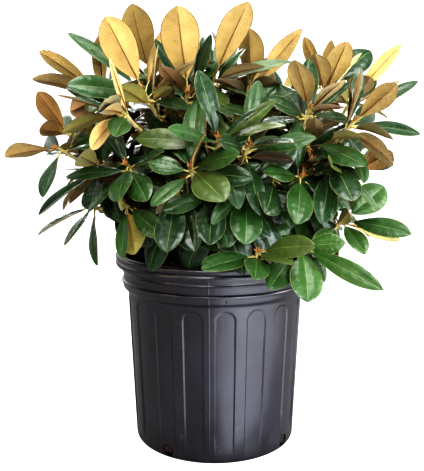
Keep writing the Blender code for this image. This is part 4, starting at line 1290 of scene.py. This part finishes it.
def panel_sink(across, height):
    """Depth of the sunk panel at a distance across it and a height, zero outside it."""
    centre = PANEL_TOP - PANEL_HALF_WIDTH
    sides = PANEL_HALF_WIDTH - np.abs(across)
    arch = PANEL_HALF_WIDTH - np.hypot(across, np.maximum(height - centre, 0))
    inside = np.where(height > centre, arch, sides)
    fading = smoothstep(BASE_CORNER, PANEL_BOTTOM + PANEL_FADE, height)
    return PANEL_DEPTH * smoothstep(0, PANEL_EDGE, inside) * fading


PANEL_COLUMNS = (0.0, 0.16, 0.32, 0.47, 0.60, 0.71, 0.80, 0.87)  # mesh lines, over the half width


def pot_columns():
    """Azimuths of the pot's mesh lines: close together at the panels' edges and at the mould line."""
    pitch = 360 / PANEL_COUNT
    half = degrees(PANEL_HALF_WIDTH / BODY_TOP_RADIUS)
    edge = degrees(PANEL_EDGE / BODY_TOP_RADIUS)
    one_side = [half * share for share in PANEL_COLUMNS] + [half - edge, half - edge / 2, half, half + 0.25]
    one_side += [half + 0.9, pitch / 2 - 0.75, pitch / 2 - 0.28]
    around = sorted([-angle for angle in one_side if angle > 0] + one_side + [pitch / 2])
    starts = [PANEL_AZIMUTH + index * pitch for index in range(PANEL_COUNT)]
    return np.array([start + angle for start in starts for angle in around])


CUTTERS = bpy.data.collections.new("cutters")
bpy.context.scene.collection.children.link(CUTTERS)


def drill(name, azimuth, radius, height, bore, depth, segments):
    """A bar through the pot's wall at an azimuth, to be cut out of it."""
    shape = bmesh.new()
    bmesh.ops.create_cone(shape, cap_ends=True, segments=segments, radius1=bore, radius2=bore, depth=depth)
    lay_down = Quaternion((0, 1, 0), radians(90)).to_matrix().to_4x4()
    turn = Matrix.Rotation(radians(azimuth), 4, "Z")
    place = Matrix.Translation(polar(azimuth, radius, height))
    bmesh.ops.transform(shape, matrix=place @ turn @ lay_down, verts=shape.verts[:])
    link_object(name, mesh_from(shape, name), CUTTERS)


POLE_RADIUS = 0.0002  # of the ring at each end of a turned profile that reaches the axis
WELD_DISTANCE = 0.00001


def turned(profile, angles, relief=0.0):
    """Points of a profile of radii and heights, turned round the Z axis."""
    radius = np.where(profile[:, :1] < 0.001, POLE_RADIUS, profile[:, :1] + relief)
    height = np.repeat(profile[:, 1:], len(angles), axis=1)
    return np.stack([radius * np.cos(angles), radius * np.sin(angles), height], -1).reshape(-1, 3)


def make_pot():
    """The moulded shell with its sunk panels and mould line, then the drain holes cut out of it."""
    inside = pot_inside()
    profile = np.array(inside + pot_outside())
    height = profile[:, 1:]
    columns = pot_columns()
    pitch = 360 / PANEL_COUNT
    offset = (columns - PANEL_AZIMUTH + pitch / 2) % pitch - pitch / 2
    across = np.radians(offset)[None, :] * BODY_TOP_RADIUS
    sink = panel_sink(across, height) * (height < FLANGE_BOTTOM)
    seam = np.zeros(len(columns))
    for azimuth in SEAM_AZIMUTHS:
        apart = np.abs((columns - azimuth + 180) % 360 - 180)
        seam = np.maximum(seam, SEAM_HEIGHT * (apart < SEAM_HALF_WIDTH))
    seam = seam[None, :] * ((height > 0.004) & (height < LIP_BOTTOM + 0.001))
    is_outside = (np.arange(len(profile)) >= len(inside))[:, None]
    vertices = turned(profile, np.radians(columns), is_outside * (seam - sink))
    quads = grid_quads(len(profile), len(columns), closed=True)
    material = pot_material()
    pot = one_skin("pot_shell", vertices, quads, material)
    for index in range(NOTCH_COUNT):
        azimuth = NOTCH_AZIMUTH + index * 360 / NOTCH_COUNT
        drill(f"notch_{index}", azimuth, BASE_RADIUS, NOTCH_HEIGHT, NOTCH_RADIUS, NOTCH_DEPTH, NOTCH_SIDES)
    drill("mark", PANEL_AZIMUTH, BAND_RADIUS, MARK_HEIGHT, MARK_RADIUS, MARK_DEPTH, MARK_SIDES)
    close_poles(pot)
    cut = pot.modifiers.new("drains", "BOOLEAN")
    cut.operation = "DIFFERENCE"
    cut.operand_type = "COLLECTION"
    cut.collection = CUTTERS
    cut.solver = "EXACT"
    depsgraph = bpy.context.evaluated_depsgraph_get()
    depsgraph.update()
    mesh = bpy.data.meshes.new_from_object(pot.evaluated_get(depsgraph), depsgraph=depsgraph)
    pot.modifiers.clear()
    pot.data = mesh
    mesh.materials.clear()
    mesh.materials.append(material)
    mesh.shade_smooth()
    mesh.set_sharp_from_angle(angle=SHARP_ANGLE)
    for obj in list(CUTTERS.objects):
        bpy.data.objects.remove(obj, do_unlink=True)
    finish_piece(pot, ["pot"])


def close_poles(obj):
    """Welds the rings at the two ends of the turned profile into one point each."""
    shape = bmesh.new()
    shape.from_mesh(obj.data)
    bmesh.ops.remove_doubles(shape, verts=shape.verts[:], dist=WELD_DISTANCE)
    ends = [vert for vert in shape.verts if hypot(vert.co.x, vert.co.y) < 1.5 * POLE_RADIUS]
    upper = [vert for vert in ends if vert.co.z > FLOOR / 2]
    lower = [vert for vert in ends if vert.co.z <= FLOOR / 2]
    for ring in (upper, lower):
        bmesh.ops.pointmerge(shape, verts=ring, merge_co=Vector((0, 0, ring[0].co.z)))
    bmesh.ops.recalc_face_normals(shape, faces=shape.faces[:])
    shape.to_mesh(obj.data)
    shape.free()


SOIL_SIDES = 150
SOIL_RINGS = 46
CHIP_COUNT = 1500
WHITE_EVERY = 23  # one chip in so many is a white grain
NOTCH_CRUMBS = 16  # crumbs that show in each drain hole
CHIP_RINGS = ((-1.0, 0.55), (-0.4, 1.0), (0.4, 0.95), (1.0, 0.5))  # place along a chip, width there
CHIP_CORNERS = ((-1, -1), (1, -1), (1, 1), (-1, 1))
CHIP_QUADS = np.concatenate([((0, 3, 2, 1), (12, 13, 14, 15)), grid_quads(4, 4, closed=True)])


def make_soil():
    """The root ball's wall, a lumpy top and loose chips of bark with a few white grains."""
    inset = WALL + SOIL_CLEARANCE
    floor = FLOOR + SOIL_CLEARANCE
    profile = [
        (0.0, floor), (BASE_RADIUS - inset - 0.004, floor), (BASE_RADIUS - inset, floor + 0.004),
        (BASE_RADIUS - inset + 0.0006, 0.014), (BASE_RADIUS - inset + 0.0013, 0.024),
        (BODY_TOP_RADIUS - inset, FLANGE_BOTTOM - 0.002), (BAND_RADIUS - inset, FLANGE_BOTTOM + 0.005),
        (BAND_RADIUS - inset, SOIL_TOP - 0.001),
    ]
    profile += [(radius, SOIL_TOP) for radius in np.linspace(BAND_RADIUS - inset - 0.0015, 0.0, SOIL_RINGS)]
    vertices = turned(np.array(profile), np.arange(SOIL_SIDES) * tau / SOIL_SIDES)
    for row in vertices:
        if row[2] >= SOIL_TOP - 0.0001:
            bump = noise.noise(Vector(row) * 90) * 0.0022 + noise.noise(Vector(row) * 260) * 0.0012
            row[2] += min(bump, 0.003)
    pile = Pile()
    pile.add(vertices, grid_quads(len(profile), SOIL_SIDES, closed=True), 0)
    rng = random.Random(SEED * 77)
    for index in range(CHIP_COUNT):
        reach = (BAND_RADIUS - inset - 0.006) * sqrt(rng.random())
        spot = polar(rng.uniform(0, 360), reach, SOIL_TOP + rng.uniform(-0.0005, 0.0022))
        white = index % WHITE_EVERY == 0
        size = rng.uniform(0.0012, 0.0022) if white else rng.uniform(0.0022, 0.0056)
        add_chip(pile, spot, size, 0.9 if white else rng.uniform(0.22, 0.5), rng, 2 if white else 1)
    for index in range(NOTCH_COUNT):
        for _ in range(NOTCH_CRUMBS):
            azimuth = NOTCH_AZIMUTH + index * 360 / NOTCH_COUNT + rng.uniform(-4, 4)
            spot = polar(azimuth, BASE_RADIUS - inset - rng.uniform(0.0, 0.003), rng.uniform(0.006, 0.018))
            add_chip(pile, spot, rng.uniform(0.0018, 0.0036), 0.6, rng, 0)
    materials = [
        soil_material("fine_soil", (0.022, 0.014, 0.009), (0.055, 0.034, 0.020)),
        soil_material("bark_chips", (0.034, 0.020, 0.012), (0.105, 0.062, 0.036)),
        soil_material("white_grains", (0.42, 0.40, 0.36), (0.62, 0.60, 0.56)),
    ]
    finish_piece(pile.build("soil_mix", materials), ["soil"])


def add_chip(pile, spot, size, flat, rng, slot):
    """A worn splinter: four square rings, narrow at the two ends, with jittered corners."""
    pole = Vector((rng.uniform(-1, 1), rng.uniform(-1, 1), 1)).normalized()
    turn = Quaternion(pole, rng.uniform(0, tau))
    tilt = Quaternion(Vector((1, 0, 0)), rng.uniform(-0.7, 0.7))
    corners = []
    for along, wide in CHIP_RINGS:
        for across, up in CHIP_CORNERS:
            corner = Vector((
                along * size * rng.uniform(0.85, 1.1),
                across * wide * size * 0.5 * rng.uniform(0.8, 1.15),
                up * wide * size * flat * 0.5 * rng.uniform(0.8, 1.15),
            ))
            corners.append(tuple(spot + turn @ (tilt @ corner)))
    pile.add(np.array(corners), CHIP_QUADS, slot)


# ---- floor, lights and camera

FLOOR_REACH = 30.0
FLOOR_GLOW = 1.2
FLOOR_GLOW_SHARE = 0.7
ROOM_LIGHT = 0.03
BACKDROP_LIGHT = 1.2
BACKDROP_SPAN = (-0.1, 0.5)  # how far a ray runs towards +Y where the backdrop begins and is full
WHITE = (1.0, 1.0, 1.0, 1.0)

# The lights: where each stands, where it points, its size, power in watts and colour.
Softbox = namedtuple("Softbox", "place target size power colour")
SOFTBOXES = {
    "key": Softbox((0.84, -1.24, 0.50), (0, 0, 0.30), (0.65, 0.98), 24, (0.90, 0.95, 1.0)),
    "fill": Softbox((-0.25, -1.60, 1.10), (0, 0, 0.38), (0.60, 0.60), 16, (1.0, 1.0, 1.0)),
    "overhead": Softbox((0.10, -0.55, 1.80), (0, 0, 0.40), (1.20, 0.80), 32, (1.0, 0.99, 0.97)),
    "left": Softbox((-1.3, -1.0, 0.8), (0, 0, 0.36), (0.15, 1.20), 7, (1.0, 0.86, 0.70)),
    "right": Softbox((1.45, -0.15, 0.62), (0, 0, 0.30), (0.50, 1.20), 20, (1.0, 0.98, 0.95)),
    "floor_board": Softbox((0.41, -0.49, 0.012), (0.41, -0.49, 1.0), (0.78, 0.72), 3.4, (0.82, 0.85, 1.0)),
    "behind": Softbox((-0.2, 1.30, 1.30), (0, 0, 0.45), (1.40, 0.70), 26, (0.95, 0.98, 1.0)),
}


def seen_directly(tree, surface, glow, share, output):
    """Mixes a plain glow into what the picture shows of a surface, and none into the light it gives."""
    path = add_node(tree, "LightPath")
    part = product(tree, path.outputs["Is Camera Ray"], share)
    mix = add_node(tree, "MixShader")
    for socket, value in zip(mix.inputs, (part, surface.outputs[0], glow.outputs[0])):
        tree.links.new(value, socket)
    tree.links.new(mix.outputs[0], tree.nodes[output].inputs["Surface"])


def make_floor():
    """A wide white sheet, so evenly lit that it runs into the white background."""
    material = new_material("pale_floor", (0.20, 0.20, 0.20), 0.8)
    tree = material.node_tree
    glow = add_node(tree, "Emission", Strength=FLOOR_GLOW)
    seen_directly(tree, tree.nodes["Principled BSDF"], glow, FLOOR_GLOW_SHARE, "Material Output")
    shape = bmesh.new()
    bmesh.ops.create_circle(shape, cap_ends=True, radius=FLOOR_REACH, segments=64)
    floor = link_object("floor", mesh_from(shape, "floor"))
    floor.data.materials.append(material)


def add_softbox(name, box):
    data = bpy.data.lights.new(name, "AREA")
    data.shape = "RECTANGLE"
    data.size, data.size_y = box.size
    data.energy = box.power
    data.color = box.colour
    lamp = link_object(name, data)
    lamp.visible_camera = False
    lamp.location = box.place
    lamp.rotation_euler = (Vector(box.target) - lamp.location).to_track_quat("-Z", "Y").to_euler()


def make_studio():
    """The softboxes, and a room that is white to the camera and lighter towards +Y to the plant."""
    scene = bpy.context.scene
    scene.view_settings.view_transform = "Standard"
    scene.view_settings.look = "Very High Contrast"
    scene.world = bpy.data.worlds.new("studio")
    scene.world.use_nodes = True
    tree = scene.world.node_tree
    room = tree.nodes["Background"]
    directions = add_node(tree, "TexCoord").outputs["Generated"]
    towards = add_node(tree, "SeparateXYZ", Vector=directions).outputs["Y"]
    strength = map_range(tree, towards, *BACKDROP_SPAN, ROOM_LIGHT, BACKDROP_LIGHT, "SMOOTHSTEP")
    feed(tree, room.inputs["Strength"], strength)
    feed(tree, room.inputs["Color"], WHITE)
    white = add_node(tree, "Background", Color=WHITE, Strength=1.0)
    seen_directly(tree, room, white, 1.0, "World Output")
    for name, box in SOFTBOXES.items():
        add_softbox(name, box)


CAMERA_PLACE = (0.0, -0.9628, 0.4286)
CAMERA_DOWN = 8.8  # degrees
CAMERA_TURN = 0.22
FOCAL_PIXELS = 713
IMAGE_HEIGHT = 471
SENSOR = 36


def make_camera():
    data = bpy.data.cameras.new("camera")
    data.sensor_fit = "VERTICAL"
    data.sensor_height = SENSOR
    data.lens = FOCAL_PIXELS / IMAGE_HEIGHT * SENSOR
    camera = link_object("camera", data)
    camera.location = CAMERA_PLACE
    camera.rotation_euler = (radians(90 - CAMERA_DOWN), 0, radians(CAMERA_TURN))
    bpy.context.scene.camera = camera


# ---- the whole scene

def make_foliage(grown):
    leaf_materials = [blade_material(f"leaf_{name}", *look) for name, look in BLADES.items()]
    leaf_materials += [felt_material(f"felt_{name}", *look) for name, look in FELTS.items()]
    leaf_materials += [stalk_material(f"leaf_{name}", *look) for name, look in TRIMS.items()]
    twig_materials = [
        stalk_material("twig_old", (0.24, 0.165, 0.095), (0.13, 0.085, 0.05), 0.8),
        stalk_material("twig_young", (0.42, 0.37, 0.17), (0.27, 0.22, 0.10), 0.6),
    ]
    bud_materials = [
        stalk_material("bud", (0.36, 0.190, 0.065), (0.20, 0.085, 0.030), 0.6),
        stalk_material("bud_scale", (0.52, 0.300, 0.110), (0.30, 0.130, 0.045), 0.7),
    ]
    for mass_number, (name, mass) in enumerate(grown.items()):
        make_leaves(name, mass, mass_number, leaf_materials)
        make_twigs(name, mass, twig_materials)
        make_buds(name, mass, mass_number, bud_materials)


def dress():
    paths, grown = grow_plant()
    make_foliage(grown)
    make_wood(paths)
    make_pot()
    make_soil()
    make_floor()
    make_studio()
    make_camera()


dress()
